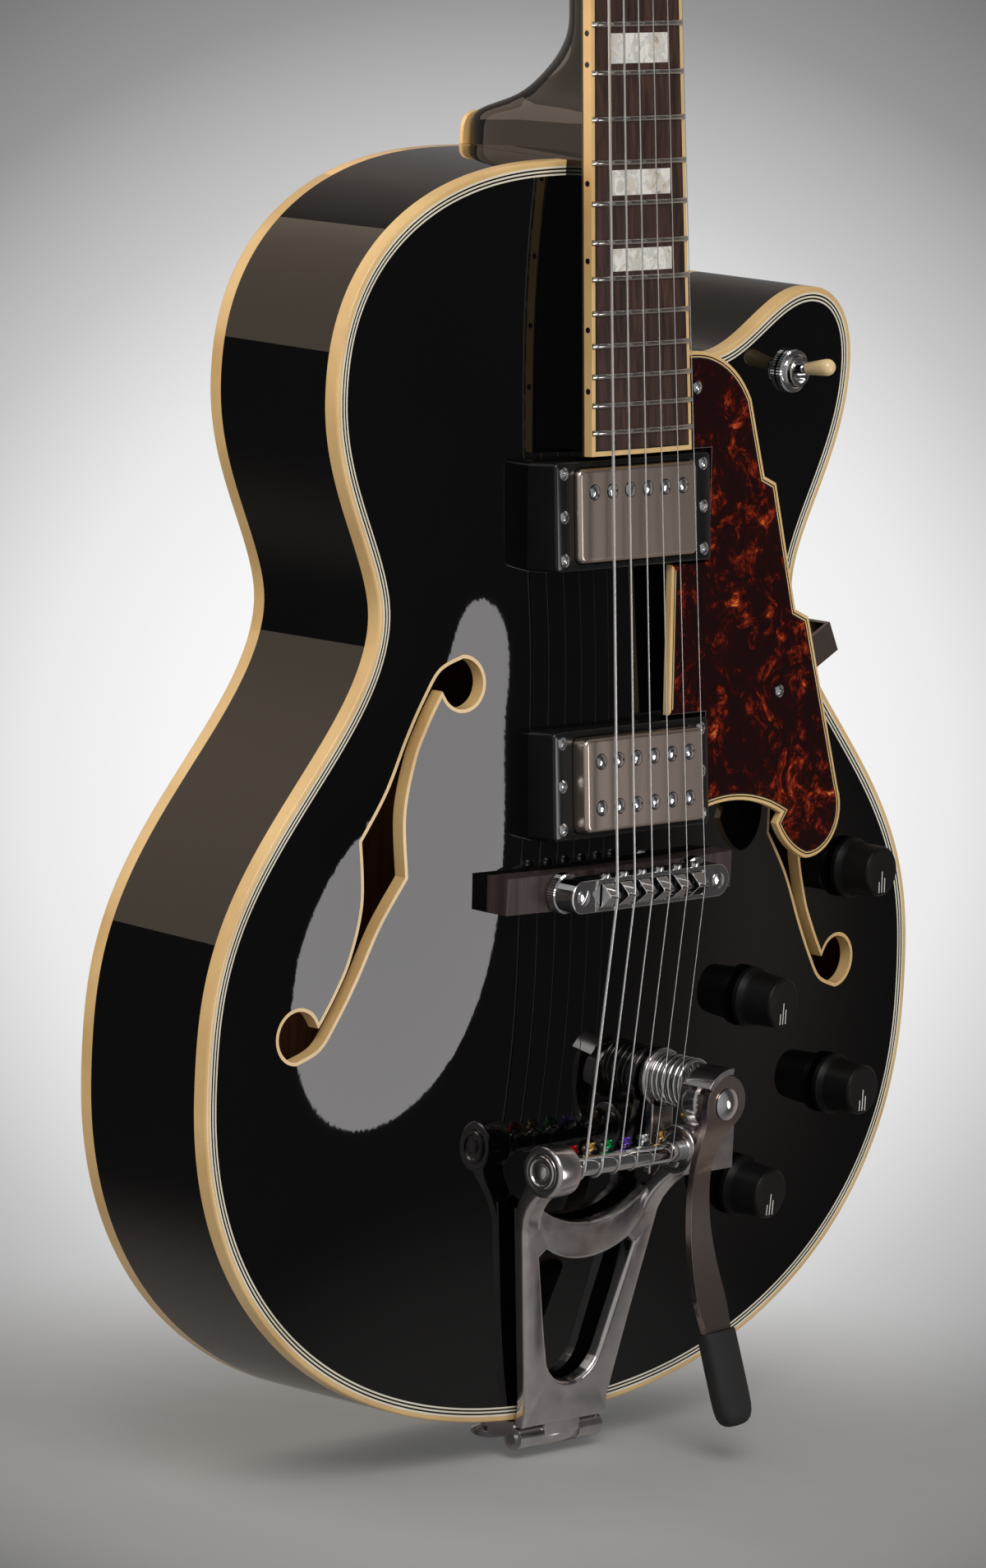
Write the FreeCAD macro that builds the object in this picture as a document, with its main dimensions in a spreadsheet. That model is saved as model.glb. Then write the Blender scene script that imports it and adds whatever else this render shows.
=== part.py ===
"""Hollow-body archtop guitar with a rocking-bar vibrato tailpiece, as a parametric document.

Millimetres. +Z runs up the centre line towards the headstock, the strings face -Y, +X is the
treble side. The origin is the seat of the tail strap button, half way through the sides' depth.
"""
import FreeCAD
import Part
import Sketcher
import math
import os
from FreeCAD import Placement, Rotation, Vector

SIZES = {
    # Body
    "body_length": 497.5,
    "rim_depth": 67.5,
    "lower_bout_width": 405.6,
    "lower_bout_station": 153.0,
    "waist_width": 238.0,
    "waist_drop": 172.5,
    "upper_bout_width": 296.6,
    "upper_bout_drop": 85.5,
    "neck_joint_width": 56.0,
    "horn_tip_offset": 121.4,
    "horn_tip_drop": 54.1,
    "scoop_offset": 62.0,
    "scoop_drop": 78.9,
    "scoop_top_drop": 44.5,
    "front_arch": 16.0,
    "back_arch": 14.0,
    "arch_peak_station": 209.0,
    "plate_thickness": 5.0,
    "rim_wall": 4.0,
    "binding_thickness": 2.2,
    "binding_height": 6.0,
    "lining_width": 6.0,
    "lining_height": 14.0,
    "neck_block_length": 62.0,
    "tail_block_width": 110.0,
    "tail_block_length": 28.0,
    "tone_bar_width": 7.0,
    "tone_bar_height": 11.0,
    "tone_bar_start": 87.0,
    "f_hole_offset": 116.0,
    "f_hole_station": 233.0,
    "f_hole_length": 130.0,
    "f_hole_spread": 80.0,
    "f_hole_eye_radius": 11.2,
    "f_hole_nick_offset": 12.0,
    "f_hole_nick_rise": 8.0,
    "f_hole_binding": 1.4,
    # Neck and headstock
    "scale_length": 628.65,
    "neck_angle": 4.82,
    "board_height": 38.34,
    "board_thickness": 6.0,
    "board_crown_radius": 305.0,
    "board_binding": 1.9,
    "board_end_overhang": 9.0,
    "nut_width": 43.0,
    "board_end_width": 57.6,
    "nut_length": 5.0,
    "neck_depth": 15.5,
    "heel_width": 40.0,
    "heel_cap_thickness": 4.0,
    "fret_width": 2.3,
    "fret_height": 1.2,
    "marker_depth": 1.5,
    "truss_rod_radius": 3.0,
    "truss_rod_margin": 18.0,
    "head_angle": 14.0,
    "head_length": 182.0,
    "head_width": 82.0,
    "head_thickness": 14.0,
    "facing_thickness": 2.0,
    # Tuning machines
    "tuner_first_station": 46.0,
    "tuner_pitch": 40.0,
    "tuner_offset": 26.0,
    "post_radius": 3.0,
    "post_height": 11.0,
    "bushing_radius": 5.0,
    "housing_width": 15.0,
    "housing_length": 19.0,
    "housing_depth": 10.0,
    "housing_wall": 1.2,
    "worm_radius": 2.0,
    "worm_gear_radius": 4.2,
    "button_width": 17.0,
    "button_length": 20.0,
    "button_thickness": 7.5,
    # Strings
    "string_pitch_nut": 7.0,
    "string_pitch_bridge": 10.3,
    "string_lift_nut": 1.6,
    "string_lift_bridge": 5.2,
    "bridge_compensation": 2.5,
    # Pickups
    "neck_pickup_gap": 2.0,
    "bridge_pickup_gap": 20.8,
    "neck_pickup_height": 20.2,
    "bridge_pickup_height": 26.0,
    "ring_width": 89.5,
    "ring_length": 42.5,
    "cover_width": 68.4,
    "cover_length": 36.6,
    "cover_depth": 16.0,
    "neck_cover_rise": 2.6,
    "bridge_cover_rise": 7.0,
    "cover_wall": 0.8,
    "pole_pitch": 10.2,
    "pole_row_gap": 18.0,
    "pole_radius": 2.4,
    "pole_rise": 0.5,
    # Bridge
    "bridge_station": 215.97,
    "bridge_base_width": 130.0,
    "bridge_base_length": 14.5,
    "bridge_base_height": 8.5,
    "bridge_post_spacing": 75.0,
    "bridge_post_radius": 2.0,
    "thumbwheel_radius": 8.0,
    "bridge_body_width": 91.0,
    "bridge_body_length": 13.0,
    "bridge_body_height": 9.5,
    "bridge_slot_depth": 6.0,
    "saddle_width": 6.2,
    "saddle_rise": 4.8,
    # Pickguard
    "guard_height": 20.52,
    "guard_tilt": 2.0,
    "guard_thickness": 3.0,
    "guard_clearance": 1.2,
    "guard_rise": 38.0,
    "bracket_strip": 1.5,
    "bracket_width": 13.0,
    "bracket_pad_offset": 61.07,
    # Controls
    "knob_base_radius": 12.4,
    "knob_cap_radius": 10.2,
    "knob_height": 17.5,
    "knob_gap": 1.2,
    "control_shaft_radius": 3.0,
    "control_bush_radius": 4.75,
    "control_can_radius": 12.0,
    "control_can_height": 9.0,
    "switch_offset": 110.5,
    "switch_drop": 87.5,
    "switch_nut_radius": 8.8,
    "switch_barrel_radius": 6.0,
    "lever_radius": 1.9,
    "lever_tip_radius": 3.4,
    "lever_length": 24.0,
    "lever_pin_radius": 1.0,
    "lever_pin_length": 10.8,
    "jack_bore_radius": 3.25,
    "jack_barrel_radius": 4.75,
    "jack_plate_radius": 19.0,
    "jack_station": 92.0,
    "strap_button_radius": 7.0,
    "strap_button_length": 12.0,
    # Vibrato tailpiece
    "bar_station": 107.5,
    "bar_height": 29.0,
    "bar_radius": 4.3,
    "bar_clearance": 0.05,
    "boss_radius": 10.4,
    "bearing_radius": 6.8,
    "boss_inner": 32.5,
    "boss_width": 12.5,
    "hub_radius": 8.2,
    "frame_foot_width": 47.5,
    "frame_top_width": 82.0,
    "frame_top_station": 92.0,
    "frame_thickness": 5.0,
    "frame_foot_height": 7.2,
    "frame_slope": 6.2,
    "shield_width": 55.0,
    "shield_foot_width": 31.0,
    "shield_top_station": 72.0,
    "shield_low_station": 15.0,
    "shield_dish": 6.5,
    "hinge_station": -6.6,
    "hinge_height": 1.2,
    "knuckle_radius": 4.6,
    "hinge_pin_radius": 2.2,
    "hinge_width": 47.5,
    "tongue_width": 20.0,
    "tail_plate_thickness": 2.5,
    "tail_plate_width": 40.0,
    "tail_plate_length": 46.0,
    "spring_offset": 38.5,
    "spring_station": 134.0,
    "spring_radius": 9.6,
    "spring_wire": 1.0,
    "spring_length": 18.0,
    "spring_turns": 5,
    "seat_radius": 12.0,
    "arm_offset": 38.0,
    "arm_station": 128.9,
    "arm_height": 48.4,
    "arm_splay": 4.0,
    "arm_thickness": 3.0,
    "arm_eye_radius": 11.2,
    "arm_length": 124.0,
    "arm_bolt_radius": 3.2,
    "grip_length": 38.0,
    "grip_width": 18.0,
    "grip_thickness": 10.0,
    # Screws
    "screw_head_radius": 2.3,
    "screw_head_height": 1.3,
    "screw_shank_radius": 1.1,
}

# Shape numbers of the body outline and arch, without units
LOWER_FULLNESS = 2.2
UPPER_FULLNESS = 2.3
HORN_FULLNESS = 2.2
FLANK_SKEW = 1.38
SHOULDER_SKEW = 0.82
POINTS_PER_STRETCH = 9
ARCH_GRID = (33, 37)
FRET_COUNT = 22
BLOCK_FRETS = (1, 3, 5, 7, 9, 12, 15, 17)
STRING_RADII = (0.62, 0.46, 0.33, 0.24, 0.19, 0.16)
# Knobs by their inset from the treble edge and their station
KNOBS = ((35.306, 205.8), (108.169, 160.1), (43.606, 117.3), (85.525, 82.0))
TOUCH = 0.02
GAP = 0.3

doc = FreeCAD.newDocument("archtop_guitar")
sheet = doc.addObject("Spreadsheet::Sheet", "Dims")
for row, (alias, value) in enumerate(SIZES.items(), 1):
    sheet.set(f"A{row}", alias)
    sheet.set(f"B{row}", str(value))
    sheet.setAlias(f"B{row}", alias)
doc.recompute()


class Sheet:
    """The driving dimensions, read back by name. A station kept as a drop is hung from the body's top."""

    def __getattr__(self, alias):
        drop = alias.replace("_station", "_drop")
        if alias not in SIZES and drop in SIZES:
            return self.body_length - float(sheet.get(drop))
        return float(sheet.get(alias))


d = Sheet()
nodes = []


def front(height):
    """Y of a point this far in front of the plane of the front edge."""
    return -d.rim_depth / 2 - height


def at(x, height, z):
    return Vector(x, front(height), z)


FACING_FRONT = Rotation(Vector(1, 0, 0), 90)
ALONG_X = Rotation(Vector(0, 1, 0), 90)


def bound(kind, name, sizes, place=Placement()):
    """A primitive whose sizes are expressions of the sheet."""
    piece = doc.addObject(kind, name)
    for prop, expression in sizes.items():
        piece.setExpression(prop, expression)
    piece.Placement = place
    return piece


def box(name, length, width, height, place):
    return bound("Part::Box", name, {"Length": length, "Width": width, "Height": height}, place)


def cylinder(name, radius, height, place):
    return bound("Part::Cylinder", name, {"Radius": radius, "Height": height}, place)


def cut(name, base, *tools):
    piece = doc.addObject("Part::Cut", name)
    piece.Base = base
    piece.Tool = tools[0] if len(tools) == 1 else fuse(name + "_tools", *tools)
    return piece


def fuse(name, *pieces):
    piece = doc.addObject("Part::MultiFuse", name)
    piece.Shapes = list(pieces)
    return piece


def feature(name, shape, place=None):
    piece = doc.addObject("Part::Feature", name)
    piece.Shape = shape
    if place:
        piece.Placement = place
    return piece


def profile_sketch(body, points):
    """A closed outline of straight lines, each corner held by two expressions."""
    support = next(f for f in body.Origin.OriginFeatures if f.Role == "XZ_Plane")
    sketch = body.newObject("Sketcher::SketchObject", body.Name + "_outline")
    sketch.AttachmentSupport = [(support, "")]
    sketch.MapMode = "FlatFace"
    start = [Vector(value(x), value(y), 0) for x, y in points]
    count = len(points)
    for i in range(count):
        sketch.addGeometry(Part.LineSegment(start[i], start[(i + 1) % count]))
    for i in range(count):
        sketch.addConstraint(Sketcher.Constraint("Coincident", i, 2, (i + 1) % count, 1))
    for i, corner in enumerate(points):
        for kind, expression in zip(("DistanceX", "DistanceY"), corner):
            index = sketch.addConstraint(Sketcher.Constraint(kind, -1, 1, i, 1, value(expression)))
            sketch.setExpression(f"Constraints[{index}]", expression)
    return sketch


def value(expression):
    """The number that an expression of the sheet gives now."""
    probe = doc.getObject("Probe") or doc.addObject("App::FeaturePython", "Probe")
    return float(probe.evalExpression(expression))


def revolved(name, points, place):
    """A turned piece: the profile's first number is the radius, the second runs along its axis."""
    body = doc.addObject("PartDesign::Body", name)
    sketch = profile_sketch(body, points)
    turn = body.newObject("PartDesign::Revolution", name + "_turn")
    turn.Profile = sketch
    turn.ReferenceAxis = (sketch, ["V_Axis"])
    turn.Angle = 360
    body.Placement = place
    return body


def padded(name, points, length, place):
    body = doc.addObject("PartDesign::Body", name)
    sketch = profile_sketch(body, points)
    pad = body.newObject("PartDesign::Pad", name + "_pad")
    pad.Profile = sketch
    pad.setExpression("Length", length)
    body.Placement = place
    return body


def node(label, *pieces):
    """Names a finished sub-part, a single piece or a group of like pieces."""
    if len(pieces) == 1:
        piece = pieces[0]
    else:
        piece = doc.addObject("Part::Compound", label + "_group")
        piece.Links = list(pieces)
    piece.Label = label
    nodes.append(piece)
    return piece


def spline(points):
    curve = Part.BSplineCurve()
    curve.interpolate(Points=points)
    return curve.toShape()


def prism(wires, low, high):
    """Front-facing outlines between two Y levels."""
    face = Part.makeFace(wires, "Part::FaceMakerBullseye")
    face.translate(Vector(0, low, 0))
    return face.extrude(Vector(0, high - low, 0))


# Body outline


def superellipse(run, exponent):
    return (1 - run ** exponent) ** (1 / exponent)


def half_width(z):
    """Half the body's width at a height, on the side without the cutaway."""
    lower, waist = d.lower_bout_width / 2, d.waist_width / 2
    upper, joint = d.upper_bout_width / 2, d.neck_joint_width / 2
    if z <= d.lower_bout_station:
        return lower * superellipse(min(1, abs(1 - z / d.lower_bout_station)), LOWER_FULLNESS)
    if z <= d.waist_station:
        run = (z - d.lower_bout_station) / (d.waist_station - d.lower_bout_station)
        return waist + (lower - waist) * math.cos(math.pi / 2 * run ** FLANK_SKEW) ** 2
    if z <= d.upper_bout_station:
        run = (z - d.waist_station) / (d.upper_bout_station - d.waist_station)
        return waist + (upper - waist) * math.sin(math.pi / 2 * run ** SHOULDER_SKEW) ** 2
    run = (z - d.upper_bout_station) / (d.body_length - d.upper_bout_station)
    return joint + (upper - joint) * superellipse(min(1, run), UPPER_FULLNESS)


def steps(count):
    return [i / count for i in range(count)]


def bass_side():
    """Outline from the neck joint down the bass side to the tail, in (x, z)."""
    joint, upper = d.neck_joint_width / 2, d.upper_bout_width / 2
    rise = d.body_length - d.upper_bout_station
    points = []
    for step in steps(POINTS_PER_STRETCH):
        angle = math.pi / 2 * step
        x = joint + (upper - joint) * math.sin(angle) ** (2 / UPPER_FULLNESS)
        points.append((-x, d.upper_bout_station + rise * math.cos(angle) ** (2 / UPPER_FULLNESS)))
    for high, low in ((d.upper_bout_station, d.waist_station), (d.waist_station, d.lower_bout_station)):
        for step in steps(POINTS_PER_STRETCH):
            z = high + (low - high) * step
            points.append((-half_width(z), z))
    for step in steps(POINTS_PER_STRETCH):
        angle = math.pi / 2 * step
        x = d.lower_bout_width / 2 * math.cos(angle) ** (2 / LOWER_FULLNESS)
        points.append((-x, d.lower_bout_station * (1 - math.sin(angle) ** (2 / LOWER_FULLNESS))))
    return points


def cutaway_side():
    """Outline from the upper bout round the horn to the neck's treble side."""
    points = []
    upper = d.upper_bout_width / 2
    for step in steps(POINTS_PER_STRETCH):
        angle = math.pi / 2 * step
        x = d.horn_tip_offset + (upper - d.horn_tip_offset) * math.cos(angle) ** (2 / HORN_FULLNESS)
        rise = (d.horn_tip_station - d.upper_bout_station) * math.sin(angle) ** (2 / HORN_FULLNESS)
        points.append((x, d.upper_bout_station + rise))
    for step in steps(POINTS_PER_STRETCH):
        x = d.horn_tip_offset + (d.scoop_offset - d.horn_tip_offset) * step
        drop = (d.horn_tip_station - d.scoop_station) * math.cos(math.pi / 2 * step) ** 2
        points.append((x, d.scoop_station + drop))
    for step in steps(POINTS_PER_STRETCH) + [1]:
        angle = math.pi / 2 * step
        x = d.scoop_offset - (d.scoop_offset - d.neck_joint_width / 2) * math.sin(angle)
        rise = (d.scoop_top_station - d.scoop_station) * (1 - math.cos(angle))
        points.append((x, d.scoop_station + rise))
    return points


def outline_points():
    bass = bass_side()
    stretch = POINTS_PER_STRETCH
    treble = [(-x, z) for x, z in reversed(bass[stretch:])]
    return bass + [(0, 0)] + treble[:-1] + cutaway_side()


def outline(inset):
    """The body's outline, moved inwards, as one smooth curve closed along the neck joint."""
    curve = spline([Vector(x, 0, z) for x, z in outline_points()]).Curve
    if inset:
        curve = spline(moved_points(curve, inset)).Curve
    knots = curve.getKnots()
    cuts = knots[:-POINTS_PER_STRETCH:POINTS_PER_STRETCH] + knots[-1:]
    edges = [curve.toShape(low, high) for low, high in zip(cuts, cuts[1:])]
    first, last = curve.value(knots[0]), curve.value(knots[-1])
    corner = Vector(last.x, 0, first.z)
    return Part.Wire(edges + [Part.makeLine(last, corner), Part.makeLine(corner, first)])


def moved_points(curve, inset):
    """Points of a curve and half way between them, moved to the left of its run."""
    knots = curve.getKnots()
    stations = knots[:1]
    for low, high in zip(knots, knots[1:]):
        stations += [(low + high) / 2, high]
    points = []
    for station in stations:
        tangent = curve.tangent(station)[0]
        points.append(curve.value(station) + Vector(-tangent.z, 0, tangent.x) * inset)
    return points


# Arched plates


def arch(x, z, peak):
    """Height of the arched plate over its edge: a cosine bell across and along the body."""
    if not 0 < z < d.body_length:
        return 0
    across = abs(x) / half_width(z)
    if across >= 1:
        return 0
    skew = math.log(0.5) / math.log(d.arch_peak_station / d.body_length)
    along = 0.5 - 0.5 * math.cos(2 * math.pi * (z / d.body_length) ** skew)
    scoop_radius = d.scoop_top_station - d.scoop_station
    away = math.hypot(x - d.scoop_offset, z - d.scoop_top_station)
    run = min(1, max(0, (away - scoop_radius - d.lining_width) / (2 * scoop_radius)))
    fade = run * run * (3 - 2 * run)
    return peak * along * (0.5 + 0.5 * math.cos(math.pi * across)) * fade


def arched_slab(edge_y, peak, direction, thickness):
    """A slab whose outer face is the arch and whose inner face runs parallel to it."""
    columns, rows = ARCH_GRID
    half = d.lower_bout_width / 2 + d.lining_width
    grid = []
    for i in range(columns):
        x = -half + 2 * half * i / (columns - 1)
        line = []
        for j in range(rows):
            z = -d.lining_width + (d.body_length + 2 * d.lining_width) * j / (rows - 1)
            line.append(Vector(x, edge_y + direction * arch(x, z, peak), z))
        grid.append(line)
    surface = Part.BSplineSurface()
    surface.interpolate(grid)
    return surface.toShape().extrude(Vector(0, -direction * thickness, 0))


def front_height(x, z):
    return arch(x, z, d.front_arch)


def front_normal(x, z):
    """Outward direction of the front at a point."""
    step = 1.0
    slope_x = (front_height(x + step, z) - front_height(x - step, z)) / (2 * step)
    slope_z = (front_height(x, z + step) - front_height(x, z - step)) / (2 * step)
    return Vector(-slope_x, -1, -slope_z).normalize()


# One half of an f-hole, as shares of the way from its middle to its eye
F_HOLE_OUTER = ((0.025, 0.4), (0.2875, 0.7077), (0.5125, 0.9385), (0.7125, 1.1))
F_HOLE_INNER = ((0.575, 0.7615), (0.4125, 0.5615), (0.28, 0.2462))
F_HOLE_HOOK = 25.0


def f_hole(side):
    """Outline of one f-hole: two hooked halves, each the other turned half round."""
    eye = Vector(d.f_hole_spread / 2, 0, d.f_hole_length / 2)
    nick = Vector(-d.f_hole_nick_offset, 0, d.f_hole_nick_rise)
    radius = d.f_hole_eye_radius
    crown_point = eye + Vector(0, 0, radius)
    hook_end = math.radians(F_HOLE_HOOK)
    notch = eye - Vector(radius * math.cos(hook_end), 0, radius * math.sin(hook_end))
    outer = spline([nick] + [Vector(x * eye.x, 0, z * eye.z) for x, z in F_HOLE_OUTER] + [crown_point])
    hook = Part.Arc(crown_point, eye + Vector(radius, 0, 0), notch).toShape()
    inner = spline([notch] + [Vector(x * eye.x, 0, z * eye.z) for x, z in F_HOLE_INNER] + [-nick])
    half = Part.Wire([outer, hook, inner])
    other = half.copy()
    other.rotate(Vector(), Vector(0, 1, 0), 180)
    whole = Part.Wire(half.Edges + other.Edges)
    if side > 0:
        whole = whole.mirror(Vector(), Vector(1, 0, 0))
    whole.translate(Vector(side * d.f_hole_offset, 0, d.f_hole_station))
    return whole


def f_hole_inner(side):
    """The f-hole's clear opening inside its binding."""
    edges = []
    for edge in f_hole(side).makeOffset2D(-d.f_hole_binding).OrderedEdges:
        points = [Vector(point.x, 0, point.z) for point in edge.discretize(POINTS_PER_STRETCH)]
        edges.append(spline(points))
    return Part.Wire(Part.__sortEdges__(edges))


def rectangle(width, length, x, z):
    corners = [(-1, -1), (1, -1), (1, 1), (-1, 1), (-1, -1)]
    return Part.makePolygon([Vector(x + i * width / 2, 0, z + j * length / 2) for i, j in corners])


def circle(radius, x, z):
    return Part.Wire(Part.makeCircle(radius, Vector(x, 0, z), Vector(0, 1, 0)))


def front_holes():
    holes = [f_hole(-1), f_hole(1)]
    for station in (neck_pickup_station(), bridge_pickup_station()):
        holes.append(rectangle(d.cover_width + 2 * GAP, d.cover_length + 2 * GAP, 0, station))
    for x, z in knob_spots():
        holes.append(circle(d.control_bush_radius + 3 * GAP, x, z))
    holes.append(circle(d.switch_barrel_radius, d.switch_offset, d.switch_station))
    return holes


def build_body():
    edge = d.rim_depth / 2
    reach = 2 * d.front_arch + d.plate_thickness
    plate_outline = outline(d.binding_thickness)
    slab = arched_slab(-edge, d.front_arch, -1, d.plate_thickness)
    whole = [plate_outline] + front_holes()
    top = slab.common(prism(whole, -edge - reach, -edge + reach))
    node("top_plate", feature("top_plate", top.Solids[0]))
    back = arched_slab(edge, d.back_arch, 1, d.plate_thickness)
    back = back.common(prism([plate_outline], edge - reach, edge + reach))
    node("back_plate", feature("back_plate", back.Solids[0]))

    outer, wall = outline(0), outline(d.rim_wall)
    middle = prism([outer, plate_outline], -edge + d.binding_height, edge - d.binding_height)
    inner = prism([plate_outline, wall], -edge + d.plate_thickness, edge - d.plate_thickness)
    rim = middle.fuse(inner).removeSplitter()
    node("rim", *bent_sides(rim))

    strips = []
    for side, low in (("front", -edge), ("back", edge - d.binding_height)):
        ring = prism([outer, plate_outline], low, low + d.binding_height)
        strips.append(feature(side + "_binding", ring))
    for side in (-1, 1):
        ring = slab.common(prism([f_hole(side), f_hole_inner(side)], -edge - reach, -edge + reach))
        strips.append(feature("f_hole_binding", ring.Solids[0]))
    node("body_bindings", *strips)
    build_inside(wall, edge)


def bent_sides(rim):
    """The two bent sides, glued together at the tail and by the neck."""
    half, length = d.lower_bout_width, 2 * d.body_length
    corner = Vector(0, -d.rim_depth, -d.body_length / 2)
    treble_half = Part.makeBox(half, 2 * d.rim_depth, length, corner)
    treble = feature("treble_side", rim.common(treble_half).Solids[0])
    bass = feature("bass_side", rim.cut(treble_half).Solids[0])
    return bass, cut("treble_side_bored", treble, jack_hole())


def build_inside(wall, edge):
    """Blocks, linings and tone bars glued inside the shell."""
    inside = outline(d.rim_wall + d.lining_width)
    depth = d.rim_depth - 2 * d.plate_thickness
    low = -edge + d.plate_thickness
    linings = []
    for level in (low, low + depth - d.lining_height):
        linings.append(feature("lining", prism([wall, inside], level, level + d.lining_height)))
    shell = prism([wall], low, low + depth)
    top_z = d.body_length - d.rim_wall
    joint = d.neck_joint_width / 2
    neck_block = Part.makeBox(3 * joint, depth, d.neck_block_length,
                              Vector(-2 * joint, low, top_z - d.neck_block_length)).common(shell)
    tail_block = Part.makeBox(d.tail_block_width, depth, d.tail_block_length + d.rim_wall,
                              Vector(-d.tail_block_width / 2, low, 0)).common(shell)
    blocks = [feature("neck_block", neck_block.Solids[0]), feature("tail_block", tail_block.Solids[0])]
    trimmed = []
    for lining in linings:
        trimmed.append(cut("lining_trimmed", lining, *blocks))
    node("end_blocks", *blocks)
    under = arched_slab(-edge + d.plate_thickness, d.front_arch, -1, d.tone_bar_height)
    bar_end = top_z - d.neck_block_length - d.tone_bar_start / 2
    bars = []
    for side in (-1, 1):
        offset = side * (d.cover_width / 2 + d.tone_bar_width)
        bar_middle = (bar_end + d.tone_bar_start) / 2
        strip = rectangle(d.tone_bar_width, bar_end - d.tone_bar_start, offset, bar_middle)
        bar = under.common(prism([strip], -edge - 2 * d.front_arch, edge))
        bars.append(feature("tone_bar", bar.Solids[0]))
    node("linings_and_bars", *trimmed, *bars)


# Neck, board and headstock


def neck_place():
    """Frame of the fingerboard: its plane above the saddles, +Z up the neck, +Y into the wood."""
    return Placement(at(0, d.board_height, d.bridge_station), Rotation(Vector(1, 0, 0), -d.neck_angle))


def joint_z():
    """Where the body's edge lies along the neck."""
    return (d.body_length - d.bridge_station) / math.cos(math.radians(d.neck_angle))


def fret_z(number):
    return d.bridge_compensation + d.scale_length * 2 ** (-number / 12)


def board_end():
    return fret_z(FRET_COUNT) - d.board_end_overhang


def board_width(z):
    run = (z - board_end()) / (fret_z(0) - board_end())
    return d.board_end_width + (d.nut_width - d.board_end_width) * run


def board_outline(inset):
    low, high = board_end() + inset, fret_z(0)
    corners = []
    for side, z in ((-1, low), (1, low), (1, high), (-1, high), (-1, low)):
        corners.append(Vector(side * (board_width(z) / 2 - inset), 0, z))
    return Part.makePolygon(corners)


def crown(rise):
    """Everything under the board's crown, moved outwards by a rise."""
    radius = d.board_crown_radius + rise
    length = d.scale_length
    return Part.makeCylinder(radius, length, Vector(0, d.board_crown_radius, board_end()))


def board_blocks(spans, low, high):
    """Boxes across the board for frets and inlays: each span is (z, length, width)."""
    boxes = []
    for z, length, width in spans:
        corner = Vector(-width / 2, low, z - length / 2)
        boxes.append(Part.makeBox(width, high - low, length, corner))
    return Part.Compound(boxes)


def build_fingerboard():
    place = neck_place()
    deep = d.board_thickness / 2
    blocks = []
    for number in BLOCK_FRETS:
        low, high = fret_z(number), fret_z(number - 1)
        middle = (low + high) / 2
        blocks.append((middle, (high - low) * 0.62, board_width(middle) * 0.64))
    inlay_layer = crown(0).cut(crown(-d.marker_depth))
    inlays = inlay_layer.common(board_blocks(blocks, -1, deep))
    whole = prism([board_outline(0)], 0, d.board_thickness).common(crown(0))
    core = prism([board_outline(d.board_binding)], -1, d.board_thickness + 1)
    node("fretboard", feature("fretboard", whole.common(core).cut(inlays).Solids[0], place))
    node("fretboard_binding", feature("fretboard_binding", whole.cut(core).Solids[0], place))
    node("fret_markers", feature("fret_markers", inlays, place))
    wires = []
    for number in range(1, FRET_COUNT + 1):
        z = fret_z(number)
        wires.append((z, d.fret_width, board_width(z) - GAP))
    fret_layer = crown(d.fret_height).cut(crown(0))
    frets = fret_layer.common(board_blocks(wires, -2 * d.fret_height, deep))
    node("frets", feature("frets", frets, place))
    top = d.string_lift_nut
    corner = Vector(-d.nut_width / 2, -top, fret_z(0))
    blank = box("nut_blank", "Dims.nut_width", "Dims.string_lift_nut + Dims.board_thickness",
                "Dims.nut_length", place.multiply(Placement(corner, Rotation())))
    lines = Part.Compound([string_line(index, 2 * TOUCH) for index in range(len(STRING_RADII))])
    node("nut", cut("nut", blank, feature("nut_slots", lines)))


def neck_section(z, depth):
    half = board_width(z) / 2
    left, right = Vector(-half, d.board_thickness, z), Vector(half, d.board_thickness, z)
    belly = Part.Arc(left, Vector(0, d.board_thickness + depth, z), right).toShape()
    return Part.Wire([belly, Part.makeLine(right, left)])


def head_place():
    lift = d.board_thickness - d.facing_thickness
    start = Placement(Vector(0, lift, fret_z(0) + d.nut_length), Rotation(Vector(1, 0, 0), -d.head_angle))
    return neck_place().multiply(start)


def head_outline():
    """Plain paddle: narrow at the nut, widest at the first tuners, with a shallow arched top."""
    foot, wide = d.nut_width / 2, d.head_width / 2
    tip = wide - 4
    shoulder = d.tuner_first_station - 10
    low = GAP * 2
    right = [Vector(foot, 0, low), Vector(foot + 1, 0, 8), Vector((foot + wide) / 2, 0, shoulder / 2 + 5),
             Vector(wide, 0, shoulder + 6)]
    flare = spline(right)
    side = Part.makeLine(right[-1], Vector(tip, 0, d.head_length - 10))
    top = Part.Arc(Vector(tip, 0, d.head_length - 10), Vector(0, 0, d.head_length),
                   Vector(-tip, 0, d.head_length - 10)).toShape()
    edges = [flare, side, top]
    for edge in (side, flare):
        edges.append(edge.mirror(Vector(), Vector(1, 0, 0)))
    edges.append(Part.makeLine(Vector(-foot, 0, low), Vector(foot, 0, low)))
    return Part.Wire(Part.__sortEdges__(edges))


def tuner_spots():
    """Post places on the head, bass side first from the nut up, then treble side from the top down."""
    rows = [d.tuner_first_station + d.tuner_pitch * i for i in range(3)]
    return [(-1, z) for z in rows] + [(1, z) for z in reversed(rows)]


TRUSS_ROD_LENGTH = ("Dims.bridge_compensation + Dims.scale_length - Dims.truss_rod_margin"
                    " - (Dims.body_length - Dims.bridge_station) / cos(Dims.neck_angle * 1 deg)")


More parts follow.
